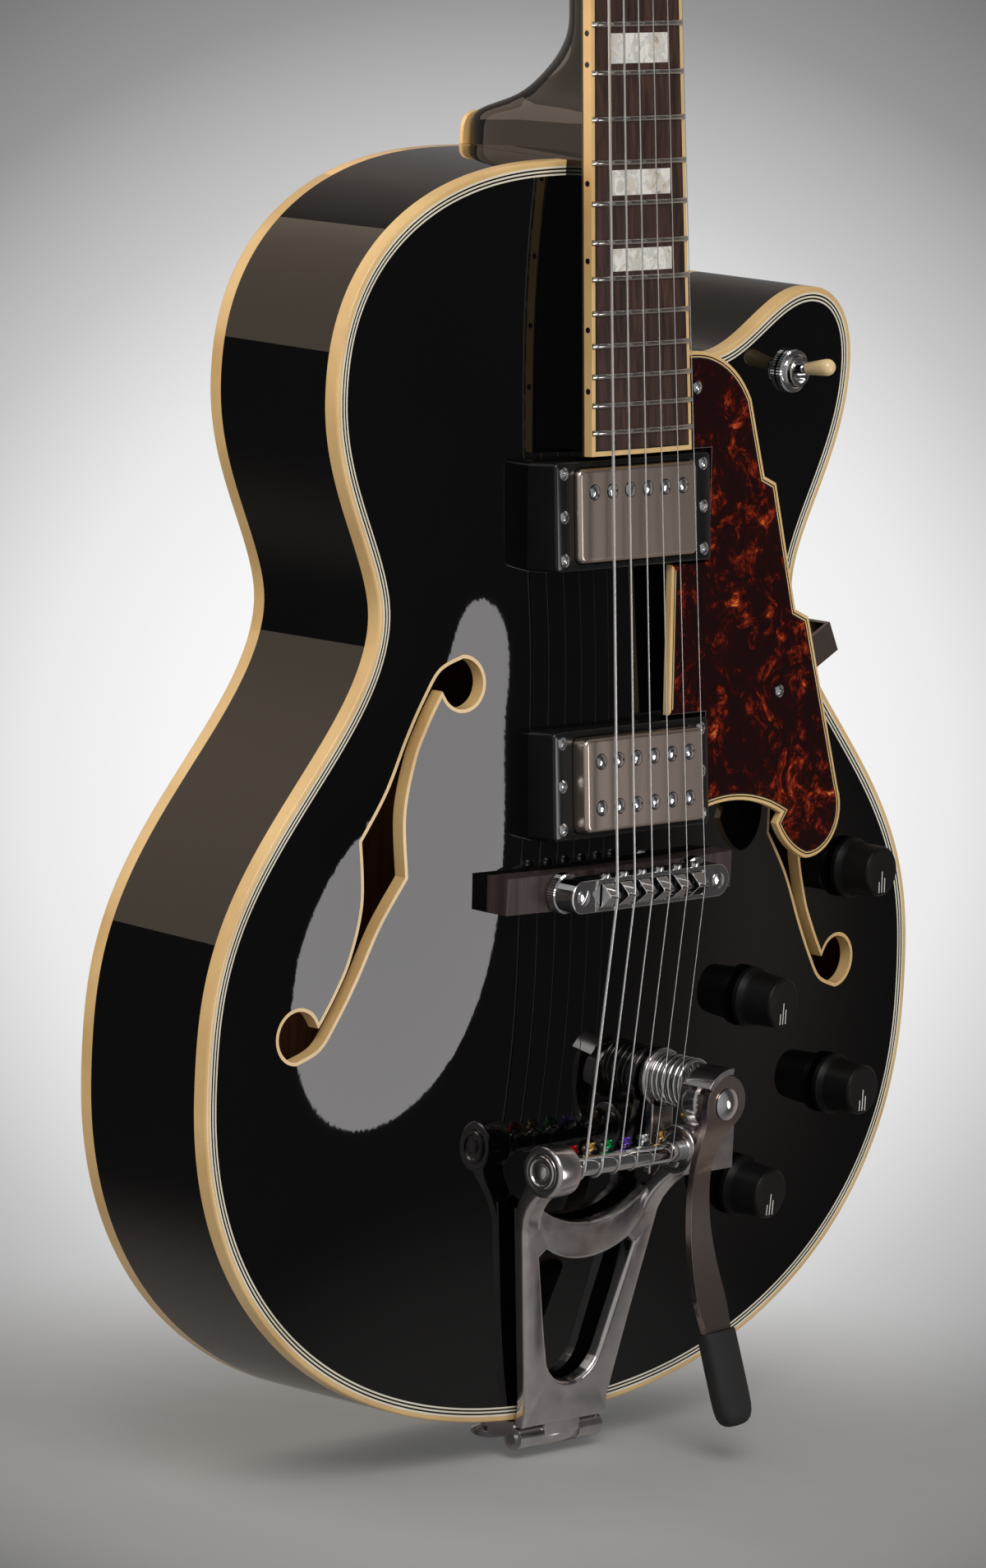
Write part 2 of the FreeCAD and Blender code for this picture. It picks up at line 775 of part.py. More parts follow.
def build_neck():
    place = neck_place()
    nut_end = fret_z(0) + d.nut_length
    foot = neck_section(joint_z(), d.neck_depth + 3)
    shaft = Part.makeLoft([foot, neck_section(nut_end, d.neck_depth)], True, True)
    under = prism([board_outline(d.board_binding)], d.board_thickness, d.rim_depth)
    joint_cut = Part.makeBox(4 * d.nut_width, 2 * d.rim_depth, d.scale_length,
                             Vector(-2 * d.nut_width, 0, joint_z() + TOUCH))
    extension = under.cut(joint_cut)
    head = prism([head_outline()], d.facing_thickness, d.facing_thickness + d.head_thickness)
    holes = []
    for side, z in tuner_spots():
        spot = Vector(side * d.tuner_offset, 0, z)
        holes.append(Part.makeCylinder(d.bushing_radius, 3 * d.head_thickness, spot, Vector(0, 1, 0)))
    head = head.cut(Part.Compound(holes))
    facing = prism([head_outline()], 0, d.facing_thickness).cut(Part.Compound(holes))
    for solid, frame in ((shaft, place), (extension, place), (head, head_place())):
        solid.Placement = frame
    edge = d.rim_depth / 2
    below_front = arched_slab(-edge, d.front_arch, -1, 2 * d.rim_depth)
    body_box = Part.makeBox(4 * d.nut_width, d.rim_depth, d.body_length,
                            Vector(-2 * d.nut_width, -edge - TOUCH, 0))
    seated = extension.cut(below_front).cut(body_box)
    wood = shaft.cut(body_box).fuse([heel_shape(), seated, head])
    rod_y = d.board_thickness + 2 * d.truss_rod_radius
    rod_spot = place.multiply(Placement(Vector(0, rod_y, joint_z() + d.truss_rod_margin), Rotation()))
    truss_rod = cylinder("truss_rod", "Dims.truss_rod_radius", TRUSS_ROD_LENGTH, rod_spot)
    doc.recompute()
    node("neck", feature("neck", wood.cut(truss_rod.Shape).Solids[0]))
    node("truss_rod", truss_rod)
    bell = [("-11", "3"), ("11", "3"), ("8", "30"), ("0", "38"), ("-8", "30")]
    cover = padded("truss_rod_cover", bell, "Dims.facing_thickness", head_place())
    node("headstock_facings", feature("headstock_facing", facing, head_place()), cover)


# The heel's curve: up from its cap, then down from the front edge, each with the way along the neck
HEEL_FOOT = ((0, 12), (11, 25), (32, 35), (45, 47))
HEEL_TIP = ((12, 62), (9, 76))


def heel_shape():
    """Heel sweeping from the neck's underside to its cap, tapered towards the back."""
    edge = d.rim_depth / 2
    back = edge - d.heel_cap_thickness
    foot = d.body_length
    low = Vector(0, -edge + 3, foot)
    curve = [Vector(0, back - rise, foot + along) for rise, along in HEEL_FOOT]
    curve += [Vector(0, -edge + drop, foot + along) for drop, along in HEEL_TIP]
    lines = [Part.makeLine(low, Vector(0, back, foot)), Part.makeLine(Vector(0, back, foot), curve[0]),
             spline(curve), Part.makeLine(curve[-1], Vector(0, low.y, curve[-1].z)),
             Part.makeLine(Vector(0, low.y, curve[-1].z), low)]
    side = Part.Face(Part.Wire(lines))
    side.translate(Vector(-d.nut_width, 0, 0))
    side = side.extrude(Vector(2 * d.nut_width, 0, 0))
    return side.common(heel_taper(low.y, back))


def heel_taper(near, far):
    wide, narrow = board_width(joint_z()) / 2, d.heel_width / 2
    corners = [(-wide, near), (-narrow, far), (narrow, far), (wide, near), (-wide, near)]
    section = Part.Face(Part.makePolygon([Vector(x, y, d.body_length) for x, y in corners]))
    return section.extrude(Vector(0, 0, d.rim_depth * 2))


def build_heel_cap():
    edge = d.rim_depth / 2
    points = [("-Dims.heel_width / 2", "0"), ("Dims.heel_width / 2", "0"), ("Dims.heel_width / 2", "9"),
              ("Dims.heel_width / 2 - 5", "12"), ("5 - Dims.heel_width / 2", "12"),
               ("-Dims.heel_width / 2", "9")]
    node("heel_cap", padded("heel_cap", points, "Dims.heel_cap_thickness",
                            Placement(Vector(0, edge, d.body_length), Rotation())))


# Tuning machines


def build_tuners():
    frame = head_place()
    back = d.facing_thickness + d.head_thickness
    gear_y = back + d.housing_depth / 2
    worm_gap = d.worm_radius + d.worm_gear_radius + GAP / 2
    fixed = []
    for number, (side, z) in enumerate(tuner_spots(), 1):
        spot = Vector(side * d.tuner_offset, 0, z)
        towards_front = frame.multiply(Placement(spot + Vector(0, back, 0), FACING_FRONT))
        bushing = revolved(f"bushing_{number}", [
            ("Dims.post_radius + 0.05", "0"), ("Dims.bushing_radius", "0"),
            ("Dims.bushing_radius", "Dims.facing_thickness + Dims.head_thickness"),
            ("Dims.bushing_radius + 1.5", "Dims.facing_thickness + Dims.head_thickness"),
            ("Dims.bushing_radius + 0.5", "Dims.facing_thickness + Dims.head_thickness + 2"),
            ("Dims.post_radius + 0.05", "Dims.facing_thickness + Dims.head_thickness + 2")], towards_front)
        corner = spot + Vector(-d.housing_width / 2, back, -d.housing_length / 2 - worm_gap / 2)
        case = box(f"housing_{number}", "Dims.housing_width", "Dims.housing_depth", "Dims.housing_length",
                   frame.multiply(Placement(corner, Rotation())))
        seat = cylinder(f"post_seat_{number}", "Dims.post_radius + 0.05", "Dims.housing_depth / 2",
                        frame.multiply(Placement(spot + Vector(0, gear_y, 0), FACING_FRONT)))
        cavity = cylinder(f"gear_cavity_{number}", "Dims.worm_gear_radius + 0.3", "4.4",
                          frame.multiply(Placement(spot + Vector(0, gear_y + 2.2, 0), FACING_FRONT)))
        worm_start = spot + Vector(-side * (d.housing_width / 2 - d.housing_wall), gear_y, -worm_gap)
        outwards = Rotation(Vector(0, 0, 1), Vector(side, 0, 0))
        tunnel = cylinder(f"worm_tunnel_{number}", "Dims.worm_radius + 0.05", "Dims.housing_width",
                          frame.multiply(Placement(worm_start, outwards)))
        fixed += [cut(f"housing_bored_{number}", case, seat, cavity, tunnel), bushing]
        build_tuner_turning(number, frame, spot, gear_y, worm_start, outwards)
    node("tuner_housings", *fixed)


def build_tuner_turning(number, frame, spot, gear_y, worm_start, outwards):
    gear_spot = frame.multiply(Placement(spot + Vector(0, gear_y + 2, 0), FACING_FRONT))
    top = "Dims.housing_depth / 2 + 2 + Dims.facing_thickness + Dims.head_thickness + Dims.post_height"
    post = revolved(f"post_{number}", [
        ("0", "0"), ("Dims.worm_gear_radius", "0"), ("Dims.worm_gear_radius", "4"), ("Dims.post_radius", "4"),
        ("Dims.post_radius", top + " - 7"), ("Dims.post_radius - 0.6", top + " - 6"),
        ("Dims.post_radius - 0.6", top + " - 3"), ("Dims.post_radius", top + " - 2"),
        ("Dims.post_radius", top + " - 0.6"), ("Dims.post_radius - 0.6", top), ("0", top)], gear_spot)
    node(f"tuner_post_{number}", post)
    reach = "Dims.head_width / 2 - Dims.tuner_offset + Dims.housing_width / 2 + 3"
    shaft = cylinder(f"button_shaft_{number}", "Dims.worm_radius", reach,
                     frame.multiply(Placement(worm_start + outwards.multVec(Vector(0, 0, GAP)), outwards)))
    start = worm_start + outwards.multVec(Vector(0, 0, GAP - TOUCH + value(reach)))
    centred = Placement(Vector(-d.button_thickness / 2, -d.button_width / 2, 0), Rotation())
    blank = box(f"button_blank_{number}", "Dims.button_thickness", "Dims.button_width", "Dims.button_length",
                frame.multiply(Placement(start, outwards)).multiply(centred))
    rounded = doc.addObject("Part::Fillet", f"button_rounded_{number}")
    rounded.Base = blank
    doc.recompute()
    radius = d.button_thickness * 0.4
    rounded.Edges = [(i + 1, radius, radius) for i in range(len(blank.Shape.Edges))]
    node(f"tuner_button_{number}", fuse(f"button_{number}", shaft, rounded))


# Strings


def saddle_point(x, radius):
    """Where a string bears on its saddle."""
    return neck_place().multVec(Vector(x, -d.string_lift_bridge - radius, 0))


def string_x(index, pitch):
    return (index - (len(STRING_RADII) - 1) / 2) * pitch


def rod(start, end, radius):
    return Part.makeCylinder(radius, (end - start).Length, start, end - start)


def string_line(index, slack=0):
    """One string from its saddle over the nut to its post, or the room for it with some slack."""
    side, z = tuner_spots()[index]
    radius = STRING_RADII[index]
    saddle = saddle_point(string_x(index, d.string_pitch_bridge), radius)
    nut_x = string_x(index, d.string_pitch_nut)
    slot = neck_place().multVec(Vector(nut_x, -d.string_lift_nut - radius, fret_z(0) + d.nut_length / 2))
    reach = d.post_radius - 0.6 + radius + TOUCH
    tie = head_place().multVec(Vector(side * (d.tuner_offset - reach), -d.post_height + 4.5, z))
    thick = radius + slack
    string = rod(saddle, slot, thick).fuse([Part.makeSphere(thick, slot), rod(slot, tie, thick)])
    return string.Solids[0]


def build_strings():
    speaking, tails = [], []
    for index, radius in enumerate(STRING_RADII):
        speaking.append(feature("string", string_line(index)))
        tails.append(feature("string_tail", string_tail(string_x(index, d.string_pitch_bridge), radius)))
    node("strings", *speaking)
    node("string_tails", *tails)


def bar_point(x, radius, degrees):
    """A point round the string bar; 0 points up the neck, 90 out of the front."""
    angle = math.radians(degrees)
    height = d.bar_height + radius * math.sin(angle)
    return at(x, height, d.bar_station + radius * math.cos(angle))


BALL_ANGLE = 325
BALL_RADIUS = 2.0
BALL_BORE = 1.1
BALL_LENGTH = 3.0


def string_tail(x, radius):
    """From the saddle down to the bar, round it, and up to the ball that hooks on its pin."""
    saddle = saddle_point(x, radius)
    wrap = d.bar_radius + radius + 0.1
    rise = -saddle.y - d.rim_depth / 2 - d.bar_height
    run = saddle.z - d.bar_station
    touch = math.degrees(math.atan2(rise, run) + math.acos(wrap / math.hypot(rise, run)))
    last = BALL_ANGLE - math.degrees(BALL_RADIUS / wrap) * 0.8
    tangent = bar_point(x, wrap, touch)
    start = saddle + (tangent - saddle).normalize() * 2 * GAP
    turn = Part.Arc(tangent, bar_point(x, wrap, (touch + last) / 2), bar_point(x, wrap, last)).toShape()
    path = Part.Wire([Part.makeLine(start, tangent), turn])
    section = Part.Wire(Part.makeCircle(radius, start, tangent - start))
    tail = path.makePipeShell([section], True, False)
    inner = bar_point(x, d.bar_radius + GAP, BALL_ANGLE)
    outer = bar_point(x, d.bar_radius + GAP + BALL_LENGTH, BALL_ANGLE)
    ball = rod(inner, outer, BALL_RADIUS)
    bore = rod(bar_point(x, d.bar_radius - 1, BALL_ANGLE),
               bar_point(x, d.bar_radius + 3 * BALL_LENGTH, BALL_ANGLE), BALL_BORE)
    return tail.fuse(ball).cut(bore).Solids[0]


# Screws


def screw(place, shank):
    """Pan-head screw: the head stands on the placement's plane, the shank runs below it."""
    head = Part.makeCone(d.screw_head_radius, d.screw_head_radius * 0.6, d.screw_head_height,
                         Vector(0, 0, TOUCH))
    solid = head.fuse(Part.makeCylinder(d.screw_shank_radius, shank + 2 * TOUCH, Vector(0, 0, -shank)))
    solid.Placement = place
    return solid


screws = []


def fasten(solid, places, shank):
    """Drills a solid for screws at these places and keeps the screws for their own sub-part."""
    used = [screw(place, shank) for place in places]
    screws.extend(used)
    return solid.cut(Part.Compound(used))


# Pickups


def neck_pickup_station():
    """The neck pickup's ring ends just below the fingerboard."""
    end = neck_place().multVec(Vector(0, 0, board_end())).z
    return end - d.neck_pickup_gap - d.ring_length / 2


def bridge_pickup_station():
    """The bridge pickup's ring starts just above the saddles."""
    return d.bridge_station + d.bridge_pickup_gap + d.ring_length / 2


def pickup_place(station, height):
    return Placement(at(0, height, station), Rotation(Vector(1, 0, 0), -d.neck_angle))


RING_SCREW_INSET = 4.6


def build_pickups():
    edge = d.rim_depth / 2
    below_front = arched_slab(-edge, d.front_arch, -1, 2 * d.rim_depth)
    rings, covers, coils, poles = [], [], [], []
    layout = ((neck_pickup_station(), d.neck_pickup_height, d.neck_cover_rise, (1,)),
              (bridge_pickup_station(), d.bridge_pickup_height, d.bridge_cover_rise, (1, -1)))
    for station, height, rise, rows in layout:
        place = pickup_place(station, height)
        hole = rectangle(d.cover_width + 2 * GAP, d.cover_length + 2 * GAP, 0, 0)
        ring = prism([rectangle(d.ring_width, d.ring_length, 0, 0), hole], 0, 2 * height)
        ring.Placement = place
        aside, along = d.ring_width / 2 - RING_SCREW_INSET, d.ring_length / 2 - RING_SCREW_INSET
        spots = [Vector(side * aside, 0, row * along) for side in (-1, 1) for row in (-1, 0, 1)]
        fixings = [place.multiply(Placement(spot, FACING_FRONT)) for spot in spots]
        ring = fasten(ring.cut(below_front), fixings, RING_SCREW_INSET)
        rings.append(feature("pickup_ring", ring.Solids[0]))
        studs = []
        for row in rows:
            for index in range(len(STRING_RADII)):
                spot = Vector(string_x(index, d.pole_pitch), 4 - rise, row * d.pole_row_gap / 2)
                studs.append(cylinder("pole", "Dims.pole_radius", "4 + Dims.pole_rise",
                                      place.multiply(Placement(spot, FACING_FRONT))))
        poles += studs
        group = doc.addObject("Part::Compound", "pole_group")
        group.Links = studs
        front_corner = Vector(-d.cover_width / 2, -rise, -d.cover_length / 2)
        shell = box("cover", "Dims.cover_width", "Dims.cover_depth", "Dims.cover_length",
                    place.multiply(Placement(front_corner, Rotation())))
        wall = Vector(d.cover_wall, d.cover_wall, d.cover_wall)
        hollow = box("cover_hollow", "Dims.cover_width - 2 * Dims.cover_wall", "Dims.cover_depth",
                     "Dims.cover_length - 2 * Dims.cover_wall",
                     place.multiply(Placement(front_corner + wall, Rotation())))
        covers.append(cut("pickup_cover", shell, hollow, group))
        coil = box("coil", "Dims.cover_width - 2 * Dims.cover_wall", "Dims.cover_depth - 2 * Dims.cover_wall",
                   "Dims.cover_length - 2 * Dims.cover_wall",
                   place.multiply(Placement(front_corner + wall, Rotation())))
        coils.append(cut("pickup_coil", coil, group))
    node("pickup_rings", *rings)
    node("pickup_covers", *covers)
    node("pickup_coils", *coils)
    node("pickup_poles", *poles)


# Bridge


def build_bridge():
    edge = d.rim_depth / 2
    string_seat = saddle_point(0, 0)
    z, seat = string_seat.z, -edge - string_seat.y
    body_top = seat - d.saddle_rise
    body_low = body_top - d.bridge_body_height
    base_top = front_height(0, z) + d.bridge_base_height
    wide, bevel = d.bridge_base_width / 2, d.bridge_base_width / 6
    corners = [(-wide, -d.front_arch), (wide, -d.front_arch), (wide, base_top - 2), (wide - bevel, base_top),
               (bevel - wide, base_top), (-wide, base_top - 2), (-wide, -d.front_arch)]
    face = Part.Face(Part.makePolygon([at(x, h, z - d.bridge_base_length / 2) for x, h in corners]))
    base = face.extrude(Vector(0, 0, d.bridge_base_length))
    base = base.cut(arched_slab(-edge, d.front_arch, -1, 2 * d.rim_depth))
    posts, wheels = [], []
    for side in (-1, 1):
        x = side * d.bridge_post_spacing / 2
        low = base_top - d.bridge_base_height / 2
        posts.append(rod(at(x, low, z), at(x, body_top - 1, z), d.bridge_post_radius))
        wheel = rod(at(x, base_top + TOUCH, z), at(x, body_low - TOUCH, z), d.thumbwheel_radius)
        wheels.append(wheel)
    drilled = Part.Compound(posts)
    node("bridge_base", feature("bridge_base", base.cut(drilled).Solids[0]))
    hardware = [feature("bridge_post", post) for post in posts]
    hardware += [feature("thumbwheel", wheel.cut(drilled)) for wheel in wheels]
    node("bridge_posts", *hardware)
    build_bridge_body(z, body_low, body_top, seat, drilled)


def build_bridge_body(z, low, top, seat, drilled):
    half = d.bridge_body_length / 2
    straight = d.bridge_body_width - d.bridge_body_length
    plan = rectangle(straight, d.bridge_body_length, 0, z)
    bar = prism([plan], front(low), front(top))
    for side in (-1, 1):
        bar = bar.fuse(rod(at(side * straight / 2, low, z), at(side * straight / 2, top, z), half))
    slot_width = 5 * d.string_pitch_bridge + d.saddle_width + 4 * GAP
    slot_length = d.bridge_body_length - 4
    slot = prism([rectangle(slot_width, slot_length, 0, z)], front(top - d.bridge_slot_depth), front(top + 1))
    bar = bar.removeSplitter().cut([slot, drilled])
    node("bridge_body", feature("bridge_body", bar.Solids[0]))
    floor = top - d.bridge_slot_depth
    run = slot_length / 2
    saddles = []
    for index in range(len(STRING_RADII)):
        x = string_x(index, d.string_pitch_bridge) - d.saddle_width / 2
        roof = [(-run, floor), (run, floor), (run, top + 0.5), (0.5, seat), (-0.5, seat), (-run, top + 0.5),
                (-run, floor)]
        face = Part.Face(Part.makePolygon([at(x, h, z + along) for along, h in roof]))
        saddles.append(feature("saddle", face.extrude(Vector(d.saddle_width, 0, 0))))
    node("bridge_saddles", *saddles)


# Pickguard


# The guard's edge: the way out from the fingerboard's side, and the drop from the guard's top
GUARD_CROWN = ((0, 0), (30, 9), (39, 20))
GUARD_STEPS = ((39, 20), (48, 51), (55, 54), (68.5, 105), (76.5, 108.5), (97, 178))
GUARD_LOBE = ((97, 178), (92, 201), (78.5, 205.5))
GUARD_WAIST = ((78.5, 205.5), (67, 199), (60, 190))
GUARD_NECK = ((60, 190), (63, 186))
GUARD_SCREW = (6.6, 14)


def guard_station():
    """Half way between the pickups."""
    return (neck_pickup_station() + bridge_pickup_station()) / 2


def guard_place():
    return Placement(at(0, d.guard_height, guard_station()), Rotation(Vector(1, 0, 0), -d.guard_tilt))


def build_pickguard():
    """Stepped guard that clears the fingerboard and both pickup rings and ends in a round lobe."""
    clear = d.guard_clearance
    ring_x = d.ring_width / 2 + clear
    inner_x = d.ring_width / 4 + 2
    base = guard_station()
    ring_reach = d.ring_length / 2 + clear
    neck_low, neck_high = (neck_pickup_station() + side * ring_reach - base for side in (-1, 1))
    bridge_high = bridge_pickup_station() + ring_reach - base
    lobe_low = bridge_pickup_station() - d.ring_length / 2 + 5 - base
    board_x = d.board_end_width / 2 + clear
    high = neck_high + d.guard_rise

    def spots(line):
        return [Vector(board_x + out, 0, high - drop) for out, drop in line]

    left = spots(GUARD_NECK)
    for x, z in ((board_x + GUARD_CROWN[1][0], lobe_low + 2), (ring_x, lobe_low), (ring_x, bridge_high),
                 (inner_x, bridge_high), (inner_x, neck_low), (ring_x, neck_low), (ring_x, neck_high),
                 (board_x, neck_high), (board_x, high)):
        left.append(Vector(x, 0, z))
    edges = [Part.Arc(*spots(GUARD_CROWN)).toShape()] + Part.makePolygon(spots(GUARD_STEPS)).Edges
    edges += [Part.Arc(*spots(GUARD_LOBE)).toShape(), Part.Arc(*spots(GUARD_WAIST)).toShape()]
    edges += Part.makePolygon(left).Edges
    plate = prism([Part.Wire(edges)], 0, d.guard_thickness)
    plate.Placement = guard_place()
    pad = bracket_pad()
    fixings = []
    for point in spots([GUARD_SCREW]) + [Vector(pad.x, 0, pad.z - base)]:
        fixings.append(guard_place().multiply(Placement(point, FACING_FRONT)))
    node("pickguard", feature("pickguard", fasten(plate, fixings, d.guard_thickness).Solids[0]))
    build_guard_bracket(plate)


def rim_spot(z):
    """A point of the treble side's outline and the outward direction there."""
    step = 0.5
    slope = (half_width(z + step) - half_width(z - step)) / (2 * step)
    return Vector(half_width(z), 0, z), Vector(1, 0, -slope).normalize()


def bracket_root():
    return rim_spot(guard_station() - d.bracket_width / 2)


def bracket_reach():
    """From the side's edge to the bracket's end, so that its pad stays under the guard."""
    spot, out = bracket_root()
    pad_x = d.board_end_width / 2 + d.bracket_pad_offset
    return (spot.x - pad_x) / out.x + d.bracket_width / 2


def bracket_pad():
    """Where the guard rests on its bracket."""
    spot, out = bracket_root()
    return spot - out * (bracket_reach() - d.bracket_width / 2)


def build_guard_bracket(plate):
    """Metal strip from under the guard, over the edge and down the side."""
    spot, out = bracket_root()
    reach = bracket_reach()
    inner = spot - out * reach
    under = guard_place().multVec(Vector(0, d.guard_thickness, inner.z - guard_station())).y
    strip = d.bracket_strip
    level = under + strip + 5 * GAP
    frame = Placement(Vector(spot.x, level, spot.z), Rotation(Vector(1, 0, 0), out))
    half = d.bracket_width / 2
    lip = 2 * GAP
    flat = Part.makeBox(reach + lip + strip, strip, d.bracket_width, Vector(-reach, -strip, -half))
    leg = Part.makeBox(strip, -level, d.bracket_width, Vector(lip, -strip, -half))
    pad = Part.makeCylinder(half - 1, d.guard_thickness, Vector(-reach + half, -strip, 0), Vector(0, -1, 0))
    bracket = flat.fuse([leg, pad]).removeSplitter()
    bracket.Placement = frame
    side_spot = frame.multiply(Placement(Vector(lip + strip, -level * 0.8, 0), ALONG_X))
    drilled = fasten(bracket.cut(plate), [side_spot], strip)
    node("pickguard_bracket", feature("pickguard_bracket", drilled.Solids[0]))


# Controls


def knob_spots():
    return [(half_width(z) - inset, z) for inset, z in KNOBS]


def control_place(x, z):
    return Placement(at(x, front_height(x, z), z), Rotation(Vector(0, 0, 1), front_normal(x, z)))


def build_controls():
    cans = []
    for number, (x, z) in enumerate(knob_spots(), 1):
        place = control_place(x, z)
        inner = "-Dims.plate_thickness - 1"
        can = inner + " - Dims.control_can_height"
        cans.append(revolved(f"control_{number}", [
            ("Dims.control_shaft_radius + 0.05", can), ("Dims.control_can_radius", can),
            ("Dims.control_can_radius", inner), ("Dims.control_bush_radius", inner),
            ("Dims.control_bush_radius", "0.05"), ("Dims.control_bush_radius + 2.2", "0.05"),
            ("Dims.control_bush_radius + 2.2", "2.2"), ("Dims.control_bush_radius", "2.2"),
            ("Dims.control_bush_radius", "5"), ("Dims.control_shaft_radius + 0.05", "5")], place))
        top = "Dims.knob_gap + Dims.knob_height"
        knob = revolved(f"knob_{number}", [
            ("0", inner + " - 3"), ("Dims.control_shaft_radius", inner + " - 3"),
            ("Dims.control_shaft_radius", "Dims.knob_gap + 6"),
            ("Dims.control_bush_radius + 3.4", "Dims.knob_gap + 6"),
            ("Dims.control_bush_radius + 3.4", "Dims.knob_gap"),
            ("Dims.knob_base_radius - 0.4", "Dims.knob_gap"),
            ("Dims.knob_base_radius", "Dims.knob_gap + 0.6"),
            ("Dims.knob_base_radius", "Dims.knob_gap + 2.4"),
            ("Dims.knob_cap_radius + 0.7", "Dims.knob_gap + 5"), ("Dims.knob_cap_radius", top + " - 0.9"),
            ("Dims.knob_cap_radius - 0.9", top), ("0", top)], place)
        node(f"knob_{number}", knob)
    node("potentiometers", *cans)


LEVER_TILT = 9.0


def switch_pivot():
    return at(d.switch_offset, front_height(d.switch_offset, d.switch_station) - 1, d.switch_station)


def build_switch():
    surface = front_height(d.switch_offset, d.switch_station)
    quarter_turn = Rotation(Vector(0, 0, 1), 90)
    place = Placement(at(d.switch_offset, surface, d.switch_station), FACING_FRONT.multiply(quarter_turn))
    deep = "-Dims.plate_thickness - 24"
    barrel = revolved("switch_barrel", [
        ("0", deep), ("11", deep), ("11", "-Dims.plate_thickness - 1"),
        ("Dims.switch_barrel_radius", "-Dims.plate_thickness - 1"), ("Dims.switch_barrel_radius", "0.05"),
        ("Dims.switch_nut_radius", "0.05"), ("Dims.switch_nut_radius", "3"),
        ("Dims.switch_nut_radius - 1.6", "4.2"),
        ("Dims.switch_barrel_radius", "4.2"), ("Dims.switch_barrel_radius", "6.2"),
        ("4.4", "6.2"), ("4.4", "-5.4"), ("0", "-5.4")], place)
    pin_start = switch_pivot() - Vector(d.lever_pin_length / 2, 0, 0)
    pin_bore = cylinder("lever_pin_bore", "Dims.lever_pin_radius + 0.05", "Dims.lever_pin_length + 0.1",
                        Placement(pin_start - Vector(0.05, 0, 0), ALONG_X))
    node("toggle_switch", cut("toggle_switch", barrel, pin_bore))
    pin_place = Placement(pin_start, ALONG_X)
    pin = cylinder("lever_pin", "Dims.lever_pin_radius", "Dims.lever_pin_length", pin_place)
    tilted = Rotation(Vector(1, 0, 0), 90 - LEVER_TILT)
    length = "Dims.lever_length"
    lever = revolved("lever", [
        ("0", "-4"), ("2.4", "-3.2"), ("3.7", "-1.7"), ("4.1", "0"), ("3.7", "1.7"),
        ("Dims.lever_radius", "3.6"),
        ("Dims.lever_radius", length + " - 13"), ("Dims.lever_tip_radius - 1", length + " - 12.5"),
        ("Dims.lever_tip_radius", length + " - 4"), ("Dims.lever_tip_radius - 0.4", length + " - 1.2"),
        ("Dims.lever_tip_radius - 1.4", length), ("0", length)], Placement(switch_pivot(), tilted))
    node("switch_lever", fuse("switch_lever", lever, pin))


def jack_hole():
    spot, out = rim_spot(d.jack_station)
    start = spot - out * 3 * d.rim_wall
    return cylinder("jack_hole", "Dims.jack_barrel_radius", "6 * Dims.rim_wall",
                    Placement(start, Rotation(Vector(0, 0, 1), out)))


def build_jack():
    spot, out = rim_spot(d.jack_station)
    place = Placement(spot, Rotation(Vector(0, 0, 1), out))
    jack = revolved("output_jack", [
        ("Dims.jack_bore_radius", "-30"), ("Dims.jack_barrel_radius", "-30"),
        ("Dims.jack_barrel_radius", "0.1"),
        ("Dims.jack_plate_radius", "0.1"), ("Dims.jack_plate_radius", "1.2"),
        ("Dims.jack_plate_radius - 3", "2"), ("Dims.jack_barrel_radius + 2.4", "2"),
        ("Dims.jack_barrel_radius + 2.4", "4.4"), ("Dims.jack_bore_radius", "4.4")], place)
    node("output_jack", jack)


def build_strap_buttons():
    edge = d.rim_depth / 2
    waist = [("0", "0"), ("Dims.strap_button_radius - 1", "0"), ("Dims.strap_button_radius / 2", "4"),
             ("Dims.strap_button_radius / 2", "Dims.strap_button_length - 4"),
             ("Dims.strap_button_radius", "Dims.strap_button_length - 2.5"),
             ("Dims.strap_button_radius", "Dims.strap_button_length - 0.8"),
             ("Dims.strap_button_radius - 1.2", "Dims.strap_button_length"),
             ("0", "Dims.strap_button_length")]
    tail_spot = Vector(0, 0, -d.tail_plate_thickness - TOUCH)
    tail = revolved("tail_button", waist, Placement(tail_spot, Rotation(Vector(1, 0, 0), 180)))
    station = d.body_length - 22
    behind = edge + arch(0, station, d.back_arch) + 0.1
    heel_place = Placement(Vector(0, behind, station), Rotation(Vector(1, 0, 0), -90))
    heel = revolved("heel_button", waist, heel_place)
    node("strap_buttons", tail, heel)


# Vibrato tailpiece


def frame_height(z):
    """Height of the sloping frame's front face."""
    return d.frame_foot_height + z * math.tan(math.radians(d.frame_slope))


def seat_level():
    """Height of the spring seat's upper face."""
    return front_height(d.spring_offset, d.spring_station) + 1.2 + d.frame_thickness - 1.6


